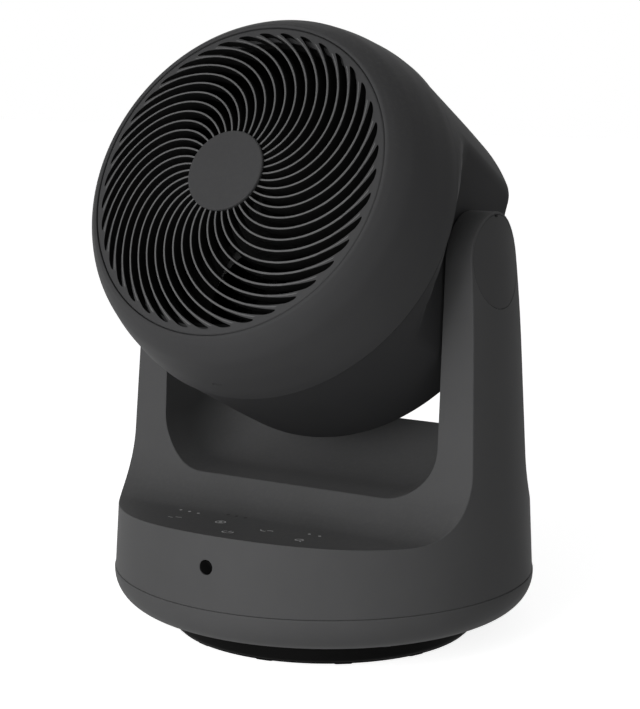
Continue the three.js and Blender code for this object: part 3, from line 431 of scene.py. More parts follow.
def _mix(tree, factor, *ends):
    """A blend from one end to the other, each a colour or a socket."""
    node = _node(tree, "ShaderNodeMix", [("Factor", factor)], data_type="RGBA", blend_type="MIX")
    for name, end in zip("AB", ends):
        if isinstance(end, bpy.types.NodeSocket):
            tree.links.new(end, node.inputs[name])
        else:
            node.inputs[name].default_value = (*end, 1)
    return node.outputs["Result"]


def grain_group():
    """Fine moulded texture: a height for bump, and a mask of its slow unevenness."""
    name = "Moulded grain"
    if name in bpy.data.node_groups:
        return bpy.data.node_groups[name]
    group, inside, outside = _group(
        name,
        [("Grain Scale", "NodeSocketFloat", 1400.0), ("Cloud Scale", "NodeSocketFloat", 28.0)],
        [("Height", "NodeSocketFloat"), ("Cloud", "NodeSocketFloat")],
    )
    fine = _noise(group, inside.outputs["Grain Scale"], 3.0, 0.6)
    cloud = _noise(group, inside.outputs["Cloud Scale"], 4.0, 0.55)
    group.links.new(fine, outside.inputs["Height"])
    group.links.new(cloud, outside.inputs["Cloud"])
    return group


def dust_group():
    """Mask of the faint dust that settles on faces that look up."""
    name = "Settled dust"
    if name in bpy.data.node_groups:
        return bpy.data.node_groups[name]
    group, inside, outside = _group(
        name,
        [("Amount", "NodeSocketFloat", 0.1), ("Speck Scale", "NodeSocketFloat", 420.0)],
        [("Mask", "NodeSocketFloat")],
    )
    geometry = _node(group, "ShaderNodeNewGeometry")
    split = _node(group, "ShaderNodeSeparateXYZ", [("Vector", geometry.outputs["Normal"])])
    up = _node(group, "ShaderNodeMapRange", [("Value", split.outputs["Z"])], From_Min=0.2, From_Max=1.0)
    specks = _noise(group, inside.outputs["Speck Scale"], 5.0, 0.7)
    patch = _node(group, "ShaderNodeMapRange", [("Value", specks)], From_Min=0.45, From_Max=0.8)
    both = _math(group, "MULTIPLY", up.outputs["Result"], patch.outputs["Result"])
    group.links.new(_math(group, "MULTIPLY", both, inside.outputs["Amount"]), outside.inputs["Mask"])
    return group


def flank_shade_mask_group():
    """Mask of the faces that look along the head's axis, in the object's own space; where it falls to nought,
    on the flanks, painted shade goes.
    """
    name = "Facing the axis"
    if name in bpy.data.node_groups:
        return bpy.data.node_groups[name]
    axis = HEAD_MATRIX.to_3x3() @ Vector((0, 0, 1))
    group, inside, outside = _group(
        name,
        [("Low", "NodeSocketFloat", 0.25), ("High", "NodeSocketFloat", 0.55)],
        [("Mask", "NodeSocketFloat")],
    )
    place = _node(group, "ShaderNodeTexCoord")
    along = _node(group, "ShaderNodeVectorMath", operation="DOT_PRODUCT")
    group.links.new(place.outputs["Normal"], along.inputs[0])
    along.inputs[1].default_value = axis
    ramp = _node(group, "ShaderNodeMapRange", [("Value", along.outputs["Value"])])
    group.links.new(inside.outputs["Low"], ramp.inputs["From Min"])
    group.links.new(inside.outputs["High"], ramp.inputs["From Max"])
    group.links.new(ramp.outputs["Result"], outside.inputs["Mask"])
    return group


def _use(tree, group, **values):
    node = tree.nodes.new("ShaderNodeGroup")
    node.node_tree = group
    for key, value in values.items():
        node.inputs[key.replace("_", " ")].default_value = value
    return node


DUST = (0.34, 0.33, 0.32)
PLASTIC_IOR = 1.46


def material(
    name,
    colour,
    roughness,
    metallic=0.0,
    bump=0.15,
    dust=0.06,
    grain=1400.0,
    vary=0.10,
    shine=0.07,
    side=None,
):
    """Moulded plastic or metal: grain, slow tone and gloss changes, and a little dust on top.

    side is painted shade: the colour of faces that don't look along the head's axis, the deep flanks of the
    vanes.
    """
    if name in bpy.data.materials:
        return bpy.data.materials[name]
    made = bpy.data.materials.new(name)
    made.use_nodes = True
    tree = made.node_tree
    shader = tree.nodes["Principled BSDF"]
    shader.inputs["Metallic"].default_value = metallic
    shader.inputs["IOR"].default_value = PLASTIC_IOR
    if not metallic:
        shader.inputs["Specular IOR Level"].default_value = shine
    grain_node = _use(tree, grain_group(), Grain_Scale=grain)
    dust_node = _use(tree, dust_group(), Amount=dust)
    dark = [c * (1 - vary) for c in colour]
    light = [c * (1 + vary) for c in colour]
    tone = _mix(tree, grain_node.outputs["Cloud"], dark, light)
    paint = _mix(tree, dust_node.outputs["Mask"], tone, DUST)
    # painted shade: faces turned away from the head's axis take the side colour
    if side:
        paint = _mix(tree, _use(tree, flank_shade_mask_group()).outputs["Mask"], side, paint)
    tree.links.new(paint, shader.inputs["Base Color"])
    gloss = _node(
        tree,
        "ShaderNodeMapRange",
        [("Value", grain_node.outputs["Cloud"])],
        To_Min=max(roughness - 0.05, 0.02),
        To_Max=min(roughness + 0.06, 1.0),
    )
    tree.links.new(gloss.outputs["Result"], shader.inputs["Roughness"])
    relief = _node(
        tree, "ShaderNodeBump", [("Height", grain_node.outputs["Height"])], Strength=bump, Distance=0.0002
    )
    tree.links.new(relief.outputs["Normal"], shader.inputs["Normal"])
    return made


def plastics():
    c = colours()
    return {
        "shell": material("Shell plastic", c.shell, 0.62),
        "cap": material("Cap plastic", [0.86 * v for v in c.shell], 0.62),
        "head": material("Head plastic", c.head, 0.60),
        "rear": material("Rear plastic", c.rear, 0.66),
        # painted light: the grille band and the vanes take painted shade on their flanks, and the vane tops a
        # painted highlight
        "grille": material("Grille plastic with painted shade", c.grille, 0.48, bump=0.1, dust=0.03, side=c.flank_shade),
        "vane": material("Vane plastic with painted highlight and shade", c.vane, 0.48, bump=0.1, dust=0.03, side=c.flank_shade),
        "black": material("Black plastic", c.black, 0.6, dust=0.01, shine=0.04),
        "rotor": material("Rotor plastic", c.rotor, 0.45, bump=0.05, dust=0.02, shine=0.06),
        "rubber": material("Tread rubber", c.rubber, 0.85, bump=0.3, dust=0.01, grain=900.0, shine=0.05),
        "lens": material("Window lens", (0.001, 0.001, 0.001), 0.3, bump=0.0, dust=0.0, shine=0.02),
        "mark": material("Printed mark", c.mark, 0.45, bump=0.0, dust=0.0, vary=0.02),
        "dim": material("Dim mark", c.mark_dark, 0.40, bump=0.0, dust=0.0, vary=0.02),
        "steel": material("Steel", c.steel, 0.32, metallic=1.0, bump=0.08, dust=0.0, grain=2600.0),
        "nylon": material("Nylon", c.nylon, 0.48, bump=0.05, dust=0.0, vary=0.04),
        "board": material("Board", c.board, 0.35, bump=0.05, dust=0.02),
    }


# ------------------------------------------------------------ base
def drum_radius(z):
    return DRUM_R - DRUM_TAPER * (z - SEAM_Z) - max(z - CROWN_Z, 0) ** 2 / (2 * CROWN_R)


def drum(name, inset, low, high, segments=168):
    crown = [z for z in np.linspace(CROWN_Z, high, 13) if low < z < high]
    side = [(drum_radius(z) - inset, z) for z in (low, *crown, high)]
    return lathe(name, [(0, low), *side, (0, high)], segments)


def yoke_profile(inset, floor, fine):
    """Side view of arms and deck as (y, z)."""
    lean = math.degrees(LEAN)
    reach = DRUM_R + 3 * WALL
    deck_end = math.degrees(math.asin((reach - SCOOP_Y) / (DECK_R + inset)))
    half = (
        arc(0, PIVOT_Z, ARM_HALF - inset, 90, lean, 24 * fine)
        + arc(SCOOP_Y, SCOOP_Z, SCOOP_R + inset, 180 + lean, 270, 18 * fine)
        + arc(SCOOP_Y, DECK_LOW + DECK_R, DECK_R + inset, 270, 270 + deck_end, 10 * fine)[1:]
        + [(reach, floor)]
    )
    return half + [(-y, z) for y, z in half[:0:-1]]


def channel(name, inset, fine):
    """The rounded U between the arms, carried back over the swept saddle."""
    half = CHANNEL_HALF + inset
    corner = CHANNEL_CORNER + inset
    top = PIVOT_Z + DRUM_R
    left = arc(corner - half, corner, corner, 180, 270, 16 * fine)
    shape = [(-half, top)] + left + [(-x, z) for x, z in reversed(left)] + [(half, top)]
    sweep = SADDLE_SWEEP_R + inset
    stations = [-DRUM_R - WALL, SADDLE_FLAT_Y]
    stations += [SADDLE_FLAT_Y + sweep * math.sin(math.radians(a)) for a in np.linspace(5, 72, 18 * fine)]
    stations.append(DRUM_R + WALL)
    rows = []
    for y in stations:
        run = min(max(y - SADDLE_FLAT_Y, 0), sweep * math.sin(math.radians(72)))
        rise = sweep - math.sqrt(sweep**2 - run**2)
        rows.append([(x, y, CHANNEL_Z - inset + rise + z) for x, z in shape])
    return loft(name, rows)


def yoke(name, inset, floor, fine=1):
    width = DRUM_R + WALL
    body = extrude(name, yoke_profile(inset, floor, fine), -width, width, SIDE_VIEW)
    boolean(body, "INTERSECT", drum(name + "_drum", inset, floor, PIVOT_Z + ARM_HALF + WALL))
    return cut(body, channel(name + "_channel", inset, fine))


def screw_places():
    return [
        (SHELL_SCREW_R * math.cos(math.radians(a)), SHELL_SCREW_R * math.sin(math.radians(a)))
        for a in SHELL_SCREW_ANGLES
    ]


def drum_normal(point):
    """The drum's outward normal, for a point on its skin in metres."""
    x, y, z = (c * 1000 for c in point)
    r = math.hypot(x, y)
    if abs(r - drum_radius(z)) > 0.12:
        return None
    slope = DRUM_TAPER + max(z - CROWN_Z, 0) / CROWN_R
    return Vector((x / r, y / r, slope)).normalized()


def build_upper_shell():
    m = plastics()
    shell = cut(yoke("upper_shell_skin", 0, SEAM_Z - 4), yoke("hollow", WALL, SEAM_Z - WALL - 4))
    slab = [(-150, -150), (150, -150), (150, 150), (-150, 150)]
    holes = [
        extrude("below_seam", slab, SEAM_Z - 20, SEAM_Z - SEAM_SLIT),
        rod("window_hole", IR_R + FIT_SLIT, 0, 10, along_y(0, -DRUM_R - 2, IR_Z), 64),
        rod("inlet_hole", INLET_COLLAR_R + 0.15, 0, 12, along_y(0, DRUM_R - 8, INLET_Z), 64),
    ]
    for side in (-1, 1):
        start = CHANNEL_HALF + WALL + 6
        holes.append(rod("opening", CAP_R + FIT_SLIT, start, start + 30, along_x(0, 0, PIVOT_Z), 128))
        holes.append(rod("bushing_hole", BUSH_R + 0.1, CHANNEL_HALF - 2, start, along_x(0, 0, PIVOT_Z), 64))
        if side < 0:
            for hole in holes[-2:]:
                hole.data.transform(Matrix.Diagonal((-1, 1, 1, 1)))
                hole.data.flip_normals()
    finish(shell, m["shell"], "base", "upper_shell", slot="shell", holes=holes, surface=drum_normal)


def build_lower_shell():
    m = plastics()
    top = SEAM_Z - GAP

    def curl(inset, steps):
        return [
            (
                PAN_EDGE_R + (DRUM_R + LIP - PAN_EDGE_R - inset) * c,
                top - 1.5 + (top - 1.5 - PAN_Z - inset) * s,
            )
            for c, s in arc(0, 0, 1, -90, 0, steps)
        ]

    profile = [(14.5, PAN_Z)] + curl(0, 28)
    profile += [(DRUM_R + LIP, top - 0.6), (DRUM_R + LIP - 0.15, top - 0.2), (DRUM_R + LIP - 0.6, top)]
    profile += [(DRUM_R - WALL, top)] + curl(WALL, 12)[::-1]
    profile += [(18.5, PAN_Z + WALL), (18.5, 23.7), (14.5, 23.7)]
    shell = lathe("lower_shell_skin", profile, 192, closed=True)
    for x, y in screw_places():
        union(shell, rod("cup", 5.6, PAN_Z, PAN_Z + WALL + 5, Matrix.Translation((x, y, 0)), 32))
        cut(shell, rod("recess", 3.9, PAN_Z - 1, PAN_Z + 3.6, Matrix.Translation((x, y, 0)), 32))
        cut(shell, rod("hole", 1.9, PAN_Z, SEAM_Z, Matrix.Translation((x, y, 0)), 24))
    finish(shell, m["shell"], "base", "lower_shell", bevel=0.0, slot="shell")


def build_caps():
    m = plastics()
    for name, side in (("left", -1), ("right", 1)):
        low, high = PIVOT_Z - CAP_R - 6, PIVOT_Z + CAP_R + 6
        skin = cut(drum(f"pivot_cap_{name}_skin", 0.04, low, high), drum("inner", WALL, low - 1, high + 1))
        start = CHANNEL_HALF + WALL if side > 0 else -CHANNEL_HALF - WALL - 32
        boolean(skin, "INTERSECT", rod("disc", CAP_R - FIT_SLIT, 0, 32, along_x(start, 0, PIVOT_Z), 128))
        half, low_edge, high_edge = 1.6, CAP_R - 1.4, CAP_R + 2
        outline = [(-half, low_edge), (half, low_edge), (half, high_edge), (-half, high_edge)]
        cut(skin, extrude("notch", outline, 0, 32, Matrix.Translation((start, 0, PIVOT_Z)) @ SIDE_VIEW))
        finish(skin, m["cap"], "base", f"pivot_cap_{name}", bevel=0.00015, slot="shell", surface=drum_normal)


def build_foot():
    m = plastics()
    round_r, rim, bore, head_z = 2.5, FOOT_R - 16, 2.0, 4.1
    profile = [(bore, SPINDLE_TOP), (SPINDLE_R, SPINDLE_TOP), (SPINDLE_R, FOOT_TOP), (FOOT_R - 1, FOOT_TOP)]
    profile += [(FOOT_R - 0.3, FOOT_TOP - 0.3), (FOOT_R, FOOT_TOP - 1)]
    profile += arc(FOOT_R - round_r, 4.0, round_r, 0, -90, 8)
    profile += [(rim, 1.5), (rim, FOOT_TOP - WALL), (SPINDLE_R - WALL, FOOT_TOP - WALL)]
    profile += [(SPINDLE_R - WALL, head_z), (bore, head_z)]
    foot = lathe("swivel_foot_skin", profile, 160, closed=True)
    finish(foot, m["black"], "foot", "swivel_foot", bevel=0.0, slot="black_plastic")
    outer = FOOT_R - round_r
    inner = outer - TREAD_W
    strip = [(inner, TREAD_T / 2), (outer, TREAD_T / 2), (outer, TREAD_T), (inner, TREAD_T)]
    band = lathe("foot_tread_skin", strip, 160, closed=True)
    for i in range(TREAD_PADS):
        turn = Matrix.Rotation(2 * math.pi * (i + 0.3) / TREAD_PADS, 4, "Z")
        pad = [(x + (outer - 5.25), y) for x, y in rounded_square(9 / 2, 5, 1.6)]
        union(band, extrude("pad", pad, 0, TREAD_T, turn))
    finish(band, m["rubber"], "foot", "foot_tread", bevel=0.0, slot="rubber")


def rounded_square(half_x, half_y, r):
    points = []
    for cx, cy, start in ((1, 1, 0), (-1, 1, 90), (-1, -1, 180), (1, -1, 270)):
        points += arc(cx * (half_x - r), cy * (half_y - r), r, start, start + 90, 5)
    return points


def build_window():
    m = plastics()
    face = drum_radius(IR_Z)
    flange, back = -3.2, -4.2
    profile = [(0, 0.35), (IR_R - 0.9, 0.25), (IR_R - 0.3, 0.05), (IR_R, -0.35), (IR_R, flange)]
    profile += [(IR_FLANGE_R, flange), (IR_FLANGE_R, back), (0, back)]
    turn = Matrix.Translation((0, -face, IR_Z)) @ Matrix.Rotation(math.pi / 2, 4, "X")
    lens = lathe("ir_window_skin", profile, 64, turn)
    finish(lens, m["lens"], "base", "ir_window", bevel=0.0, slot="lens")


def build_inlet():
    m = plastics()
    start, reach, bottom = INLET_FLANGE_Y, INLET_REACH_Y, INLET_REACH_Y - 10
    profile = [(0, start), (INLET_COLLAR_R, start), (INLET_COLLAR_R, reach - 0.6)]
    profile += [(INLET_COLLAR_R - 0.6, reach)]
    profile += [(INLET_BORE_R + 0.6, reach), (INLET_BORE_R, reach - 0.5), (INLET_BORE_R, bottom)]
    profile += [(INLET_PIN_R, bottom), (INLET_PIN_R, reach - 1.8), (INLET_PIN_R - 0.4, reach - 1.4)]
    profile += [(0, reach - 1.4)]
    collar = lathe("dc_inlet_collar", profile, 48, along_y(0, 0, INLET_Z))
    inner_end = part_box("dc_inlet")[0].y * 1000
    half, low, high = 6.5, INLET_Z - 5.5, INLET_Z + 5.5
    block = [(-half, low), (half, low), (half, high), (-half, high)]
    body = extrude("dc_inlet_skin", block, -start - 0.4, -inner_end, FRONT_VIEW)
    union(body, collar)
    finish(body, m["black"], "base", "dc_inlet", bevel=0.0, slot="black_plastic")


# ------------------------------------------------------------ printed marks on the deck
def deck_height(y):
    run = -y - SCOOP_Y
    if run > 0:
        return DECK_LOW + DECK_R - math.sqrt(DECK_R**2 - run**2)
    return SCOOP_Z - math.sqrt(SCOOP_R**2 - run**2)


def deck_patch(name, points, look):
    """A flat printed shape: a fan of points laid on the deck."""
    verts = [(x, y, deck_height(y) + MARK_LIFT) for x, y in points]
    lower = [(x, y, z - MARK_T) for x, y, z in verts]
    n = len(points)
    faces = [tuple(range(n)), tuple(range(n, 2 * n))[::-1]]
    faces += [(i, n + i, n + (i + 1) % n, (i + 1) % n) for i in range(n)]
    obj = make(name, verts + lower, faces)
    obj.data.materials.append(look)
    return obj


def stroke(name, path, width, look, closed=False):
    """A line of even width along a path of (x, y) on the deck."""
    pts = [Vector(p) for p in path]
    count = len(pts)
    left, right = [], []
    for i, p in enumerate(pts):
        before = pts[(i - 1) % count] if closed or i else p
        after = pts[(i + 1) % count] if closed or i < count - 1 else p
        run = (after - before).normalized()
        side = Vector((-run.y, run.x)) * width / 2
        left.append(p + side)
        right.append(p - side)
    verts = [(p.x, p.y, deck_height(p.y) + MARK_LIFT) for p in left + right]
    verts += [(x, y, h - MARK_T) for x, y, h in verts]
    n = 2 * count
    spans = range(count) if closed else range(count - 1)
    faces = []
    for i in spans:
        j = (i + 1) % count
        faces += [(i, count + i, count + j, j), (n + i, n + j, n + count + j, n + count + i)]
        faces += [(i, j, n + j, n + i), (count + i, n + count + i, n + count + j, count + j)]
    if not closed:
        faces += [(0, n, n + count, count), (count - 1, 2 * count - 1, n + 2 * count - 1, n + count - 1)]
    obj = make(name, verts, faces)
    obj.data.materials.append(look)
    return obj


def build_marks():
    m = plastics()
    line = sizes().mark_line * 1000
    marks = []

    def ring(x, y, r, look, width=line, start=0, end=360):
        closed = end - start == 360
        path = arc(x, y, r, start, end, 40)
        marks.append(stroke("mark", path[:-1] if closed else path, width, look, closed))

    def dot(x, y, r, look):
        marks.append(deck_patch("mark", arc(x, y, r, 0, 360, 16)[:-1], look))

    def bar(points, look, width=line):
        marks.append(stroke("mark", points, width, look))

    for start in range(0, 360, 30):
        ring(0, -98.5, 6.6, m["dim"], 0.45, start + 4, start + 26)
    ring(0, -97.3, 2.9, m["mark"], line, 128, 412)
    bar([(0, -96.6), (0, -93.4)], m["mark"])
    ring(-18.2, -77.5, 2.7, m["mark"])
    ring(-18.2, -77.5, 0.7, m["mark"], 0.5)
    ring(12.0, -79.0, 2.7, m["mark"], line, 190, 300)
    ring(15.4, -80.9, 2.2, m["mark"], line, 60, 150)
    bar([(-48.4, -84.0), (-45.0, -84.6)], m["mark"])
    bar([(-44.6, -82.4), (-41.2, -81.4)], m["mark"])
    ring(38.7, -88.0, 2.1, m["mark"])
    bar([(40.0, -89.8), (41.6, -91.4)], m["mark"])
    for x, y in ((-52.3, -66.7), (-46.3, -66.9), (-39.9, -67.6), (35.4, -72.8), (42.2, -73.5)):
        dot(x, y, 0.8, m["mark"])
    for x, y in ((-23.4, -62.6), (-17.8, -62.8), (-11.8, -63.0)):
        dot(x, y, 1.0, m["dim"])
    for i, obj in enumerate(marks):
        obj.name = f"deck_mark_{i + 1}"
        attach(obj, "base")


# ------------------------------------------------------------ head
def smooth_curve(knots, steps):
    """Catmull-Rom through (s, r) knots, given back as (r, s)."""
    pts = [np.array(k, float) for k in knots]
    pts = [2 * pts[0] - pts[1]] + pts + [2 * pts[-1] - pts[-2]]
    out = []
    for i in range(1, len(pts) - 2):
        a, b, c, d = pts[i - 1 : i + 3]
        for t in np.linspace(0, 1, steps, endpoint=False):
            p = 2 * b + (c - a) * t + (2 * a - 5 * b + 4 * c - d) * t**2 + (3 * b - a - 3 * c + d) * t**3
            p = 0.5 * p
            out.append((p[1], p[0]))
    out.append((pts[-2][1], pts[-2][0]))
    return out


def build_front_shell():
    m = plastics()
    outer = smooth_curve(FRONT_KNOTS, 5)
    well = GRILLE_R + GAP
    lip = [(87.6, 100.6), (86.9, 101.0), (86.1, 101.05), (85.6, 100.8), (well, 100.2)]
    inner = [(well, LEDGE_S), (LEDGE_R, LEDGE_S), (LEDGE_R, LEDGE_S - LEDGE_T), (91.0, LEDGE_S - LEDGE_T)]
    inner += [(93.5, 85), (96, 78), (99.0, 67), (101.2, 58), (101.4, HEAD_SPLIT)]
    profile = [(103.6, HEAD_SPLIT), (104.0, HEAD_SPLIT + 0.4)] + outer[1:] + lip + inner
    shell = lathe("front_shell_skin", profile, 224, HEAD_MATRIX, closed=True)
    place = HEAD_MATRIX @ along_y(0, -HEAD_R - 3, 68.8)
    cut(shell, extrude("slot", rounded_square(3.25, 0.8, 0.7), 0, 12, place))
    finish(shell, m["head"], "head", "front_shell", bevel=0.0, slot="shell")


def cheek_x(s, inset):
    """How far out the head's flat sides stand at a place along the axis."""
    front = CHEEK_FRONT_S + inset
    slope = (HEAD_R - CHEEK_X) / (CHEEK_BEVEL_S - CHEEK_FRONT_S)
    bend = 5.0
    past = s - front
    if past < -bend:
        rise = 0
    elif past < bend:
        rise = (past + bend) ** 2 / (4 * bend)
    else:
        rise = past
    return CHEEK_X - inset + slope * rise


def cheeked(r, s, inset, angle, soft=2.6):
    """Radius in a direction: round, but flattened by the cheeks over a soft edge."""
    flat = cheek_x(s, inset) / max(abs(math.cos(angle)), 1e-6)
    blend = max(soft - abs(r - flat), 0) / soft
    return min(r, flat) - blend**2 * soft / 4


def leaned(x, y, s):
    """The head's back leans: its top reaches further back than its bottom."""
    share = min(max((REAR_LEAN_FROM - s) / (REAR_LEAN_FROM - REAR_S), 0), 1)
    return (x, y, s - REAR_LEAN * share * y / HEAD_R)


def build_rear_shell():
    m = plastics()
    curve = smooth_curve(REAR_KNOTS, 5)
    seat, ledge = REAR_SEAT_R, REAR_SEAT_R - REAR_LEDGE_W
    back = REAR_SEAT_S + 2.2
    rows = [(r, s, 0.0) for r, s in curve]
    rows += [(100.4, REAR_S + 0.2, 0.3), (99.6, REAR_S, 0.8)]
    rows += [(seat + 0.4, REAR_S, WALL - 0.4), (seat, REAR_S + 0.4, WALL), (seat, REAR_SEAT_S, WALL)]
    rows += [(ledge, REAR_SEAT_S, WALL + REAR_LEDGE_W), (ledge, back, WALL + REAR_LEDGE_W)]
    rows += [(seat + 1, back, WALL)]
    rows += [(r - WALL, s, WALL) for r, s in reversed(curve) if s > REAR_S + 6]
    segments = 720
    angles = [2 * math.pi * i / segments for i in range(segments)]
    verts = []
    for r, s, inset in rows:
        for a in angles:
            reach = cheeked(r, s, inset, a)
            verts.append(leaned(reach * math.cos(a), reach * math.sin(a), s))
    count = len(rows)
    faces = []
    for j in range(count):
        a, b = j * segments, ((j + 1) % count) * segments
        faces += [(a + i, a + (i + 1) % segments, b + (i + 1) % segments, b + i) for i in range(segments)]
    shell = make("rear_shell_skin", verts, faces, HEAD_MATRIX)
    cut(shell, rod("axle", 9.3, -HEAD_R - 5, HEAD_R + 5, along_x(0, 0, PIVOT_Z), 48))
    finish(shell, m["rear"], "head", "rear_shell", bevel=0.0, slot="rear_housing")


def dome(r):
    """Front surface of the grille: height along the head's axis at a radius."""
    t = min(max((r - HUB_R - 1) / (GRILLE_R - HUB_R - 1), 0), 1)
    return GRILLE_FACE_S + (GRILLE_RIM_S - 0.5 - GRILLE_FACE_S) * t**1.6


def vane_share(r):
    """How far along its run a vane is at a radius, from 0 beside the hub."""
    return max((r - VANE_IN_R) / VANE_SPAN, 0)


def vane_half(r, thick, sweep):
    """Half the angle that a vane covers at a radius: it grows as the vane leans into the turn."""
    slope = r * sweep * 1.5 * math.sqrt(max(vane_share(r), 1e-4)) / VANE_SPAN
    return thick / 2 * math.hypot(1, slope) / r


def vane_gaps(count, thick, sweep):
    """The outer ends of the gaps between the vanes: they narrow and end round."""
    narrow_from, narrowing, least = 74.5, 0.38, 0.05
    round_from = GAP_END_R - GAP_ROUND
    verts, faces = [], []
    radii = list(np.linspace(WEB_R - 2, round_from, 12))
    radii += [round_from + GAP_ROUND * math.sin(math.radians(a)) for a in (20, 38, 54, 68, 80, 90)]
    for k in range(count):
        left, right = [], []
        for r in radii:
            middle = 2 * math.pi * (k + 0.5) / count + sweep * vane_share(r) ** 1.5
            half = math.pi / count - vane_half(r, thick, sweep)
            half *= 1 - narrowing * min(max((r - narrow_from) / (GAP_END_R - narrow_from), 0), 1) ** 1.5
            half *= math.sqrt(max(1 - (max(r - round_from, 0) / GAP_ROUND) ** 2, least**2))
            left.append((r * math.cos(middle + half), r * math.sin(middle + half)))
            right.append((r * math.cos(middle - half), r * math.sin(middle - half)))
        outline = right + left[::-1]
        n, base = len(outline), len(verts)
        verts += [(x, y, LEDGE_S - 2) for x, y in outline] + [(x, y, GRILLE_FACE_S + 2) for x, y in outline]
        low = range(base, base + n)
        faces += [tuple(low)[::-1], tuple(i + n for i in low)]
        faces += [(base + i, base + (i + 1) % n, base + n + (i + 1) % n, base + n + i) for i in range(n)]
    return make("vane_gaps", verts, faces, HEAD_MATRIX)


def build_front_grille():
    m = plastics()
    s = sizes()
    count, thick, depth = s.vane_count, s.vane_thickness * 1000, s.vane_depth * 1000
    inner, outer = HUB_R - 1.5, 80.6
    rows_r = np.linspace(inner, outer, 30)
    verts, faces = [], []
    for k in range(count):
        base = len(verts)
        for r in rows_r:
            a = 2 * math.pi * k / count + s.vane_sweep * vane_share(r) ** 1.5
            half = vane_half(r, thick, s.vane_sweep)
            top = dome(r)
            foot = max(top - depth, LEDGE_S + 0.4 if r > LEDGE_R else 0)
            chain = [
                (-half * 0.80, foot),
                (-half, foot + 1.2),
                (-half, top - 0.6),
                (-half * 0.62, top - 0.15),
                (0, top),
                (half * 0.62, top - 0.15),
                (half, top - 0.6),
                (half, foot + 1.2),
                (half * 0.80, foot),
            ]
            verts += [(r * math.cos(a + da), r * math.sin(a + da), h) for da, h in chain]
        n = len(chain)
        for j in range(len(rows_r) - 1):
            p, q = base + j * n, base + (j + 1) * n
            faces += [(p + i, p + (i + 1) % n, q + (i + 1) % n, q + i) for i in range(n)]
        last = base + (len(rows_r) - 1) * n
        faces += [tuple(range(base, base + n))[::-1], tuple(range(last, last + n))]
    vanes = make("front_grille_vanes", verts, faces, HEAD_MATRIX)
    # the vane material paints a highlight on the vane tops and shade on their flanks
    finish(vanes, m["vane"], "head", bevel=0.0, slot="grille")
    band = [(WEB_R, LEDGE_S + 0.4)] + [(r, dome(r) - 0.12) for r in np.arange(WEB_R, 83.2, 1.0)]
    band += [(84.2, dome(84.2)), (84.7, GRILLE_RIM_S - 0.5), (GRILLE_R, GRILLE_RIM_S - 1.0)]
    band += [(GRILLE_R, LEDGE_S + 0.4)]
    ring = lathe("front_grille_band", band, 400, HEAD_MATRIX, closed=True)
    cut(ring, vane_gaps(count, thick, s.vane_sweep))
    # the band's material paints shade on the walls of its gaps
    finish(ring, m["grille"], "head", "front_grille", bevel=0.0, slot="grille")
    top, deep, side = GRILLE_FACE_S, 8.0, HUB_R - 0.5
    boss = [(0, top - deep), (side - 1, top - deep), (side, top - deep + 0.6), (side, top - 0.4)]
    boss += [(side - 0.4, top), (0, top)]
    finish(lathe("front_grille_boss", boss, 96, HEAD_MATRIX), m["grille"], "head", bevel=0.0, slot="grille")


def build_hub():
    m = plastics()
    low = GRILLE_FACE_S + GAP
    high = low + HUB_T
    profile = [(0, low), (HUB_R - 0.4, low), (HUB_R, low + 0.4)]
    profile += arc(HUB_R - 0.9, high - 0.9, 0.9, 0, 90, 6)
    profile += [(HUB_R - 5, high + 0.05), (0, high + 0.1)]
    disc = lathe("hub_disc_skin", profile, 128, HEAD_MATRIX)
    finish(disc, m["head"], "head", "hub_disc", bevel=0.0, slot="shell")


def rear_height(r):
    for (r0, s0), (r1, s1) in zip(REAR_RINGS, REAR_RINGS[1:]):
        if r >= r1:
            return s0 + (s1 - s0) * (r0 - r) / (r0 - r1)
    return REAR_RINGS[-1][1]


def rear_edge(angle):
    return min(REAR_SEAT_R - GAP, (CHEEK_X - WALL - GAP) / max(abs(math.cos(angle)), 1e-6))


def rear_point(r, angle, drop=0.0):
    """A point of the rear grille: round inside, following the cheeks outside."""
    stretch = (rear_edge(angle) - REAR_ROUND) / (REAR_SEAT_R - GAP - REAR_ROUND)
    flat = min(r, REAR_ROUND) + max(r - REAR_ROUND, 0) * stretch
    return leaned(flat * math.cos(angle), flat * math.sin(angle), rear_height(r) - drop)


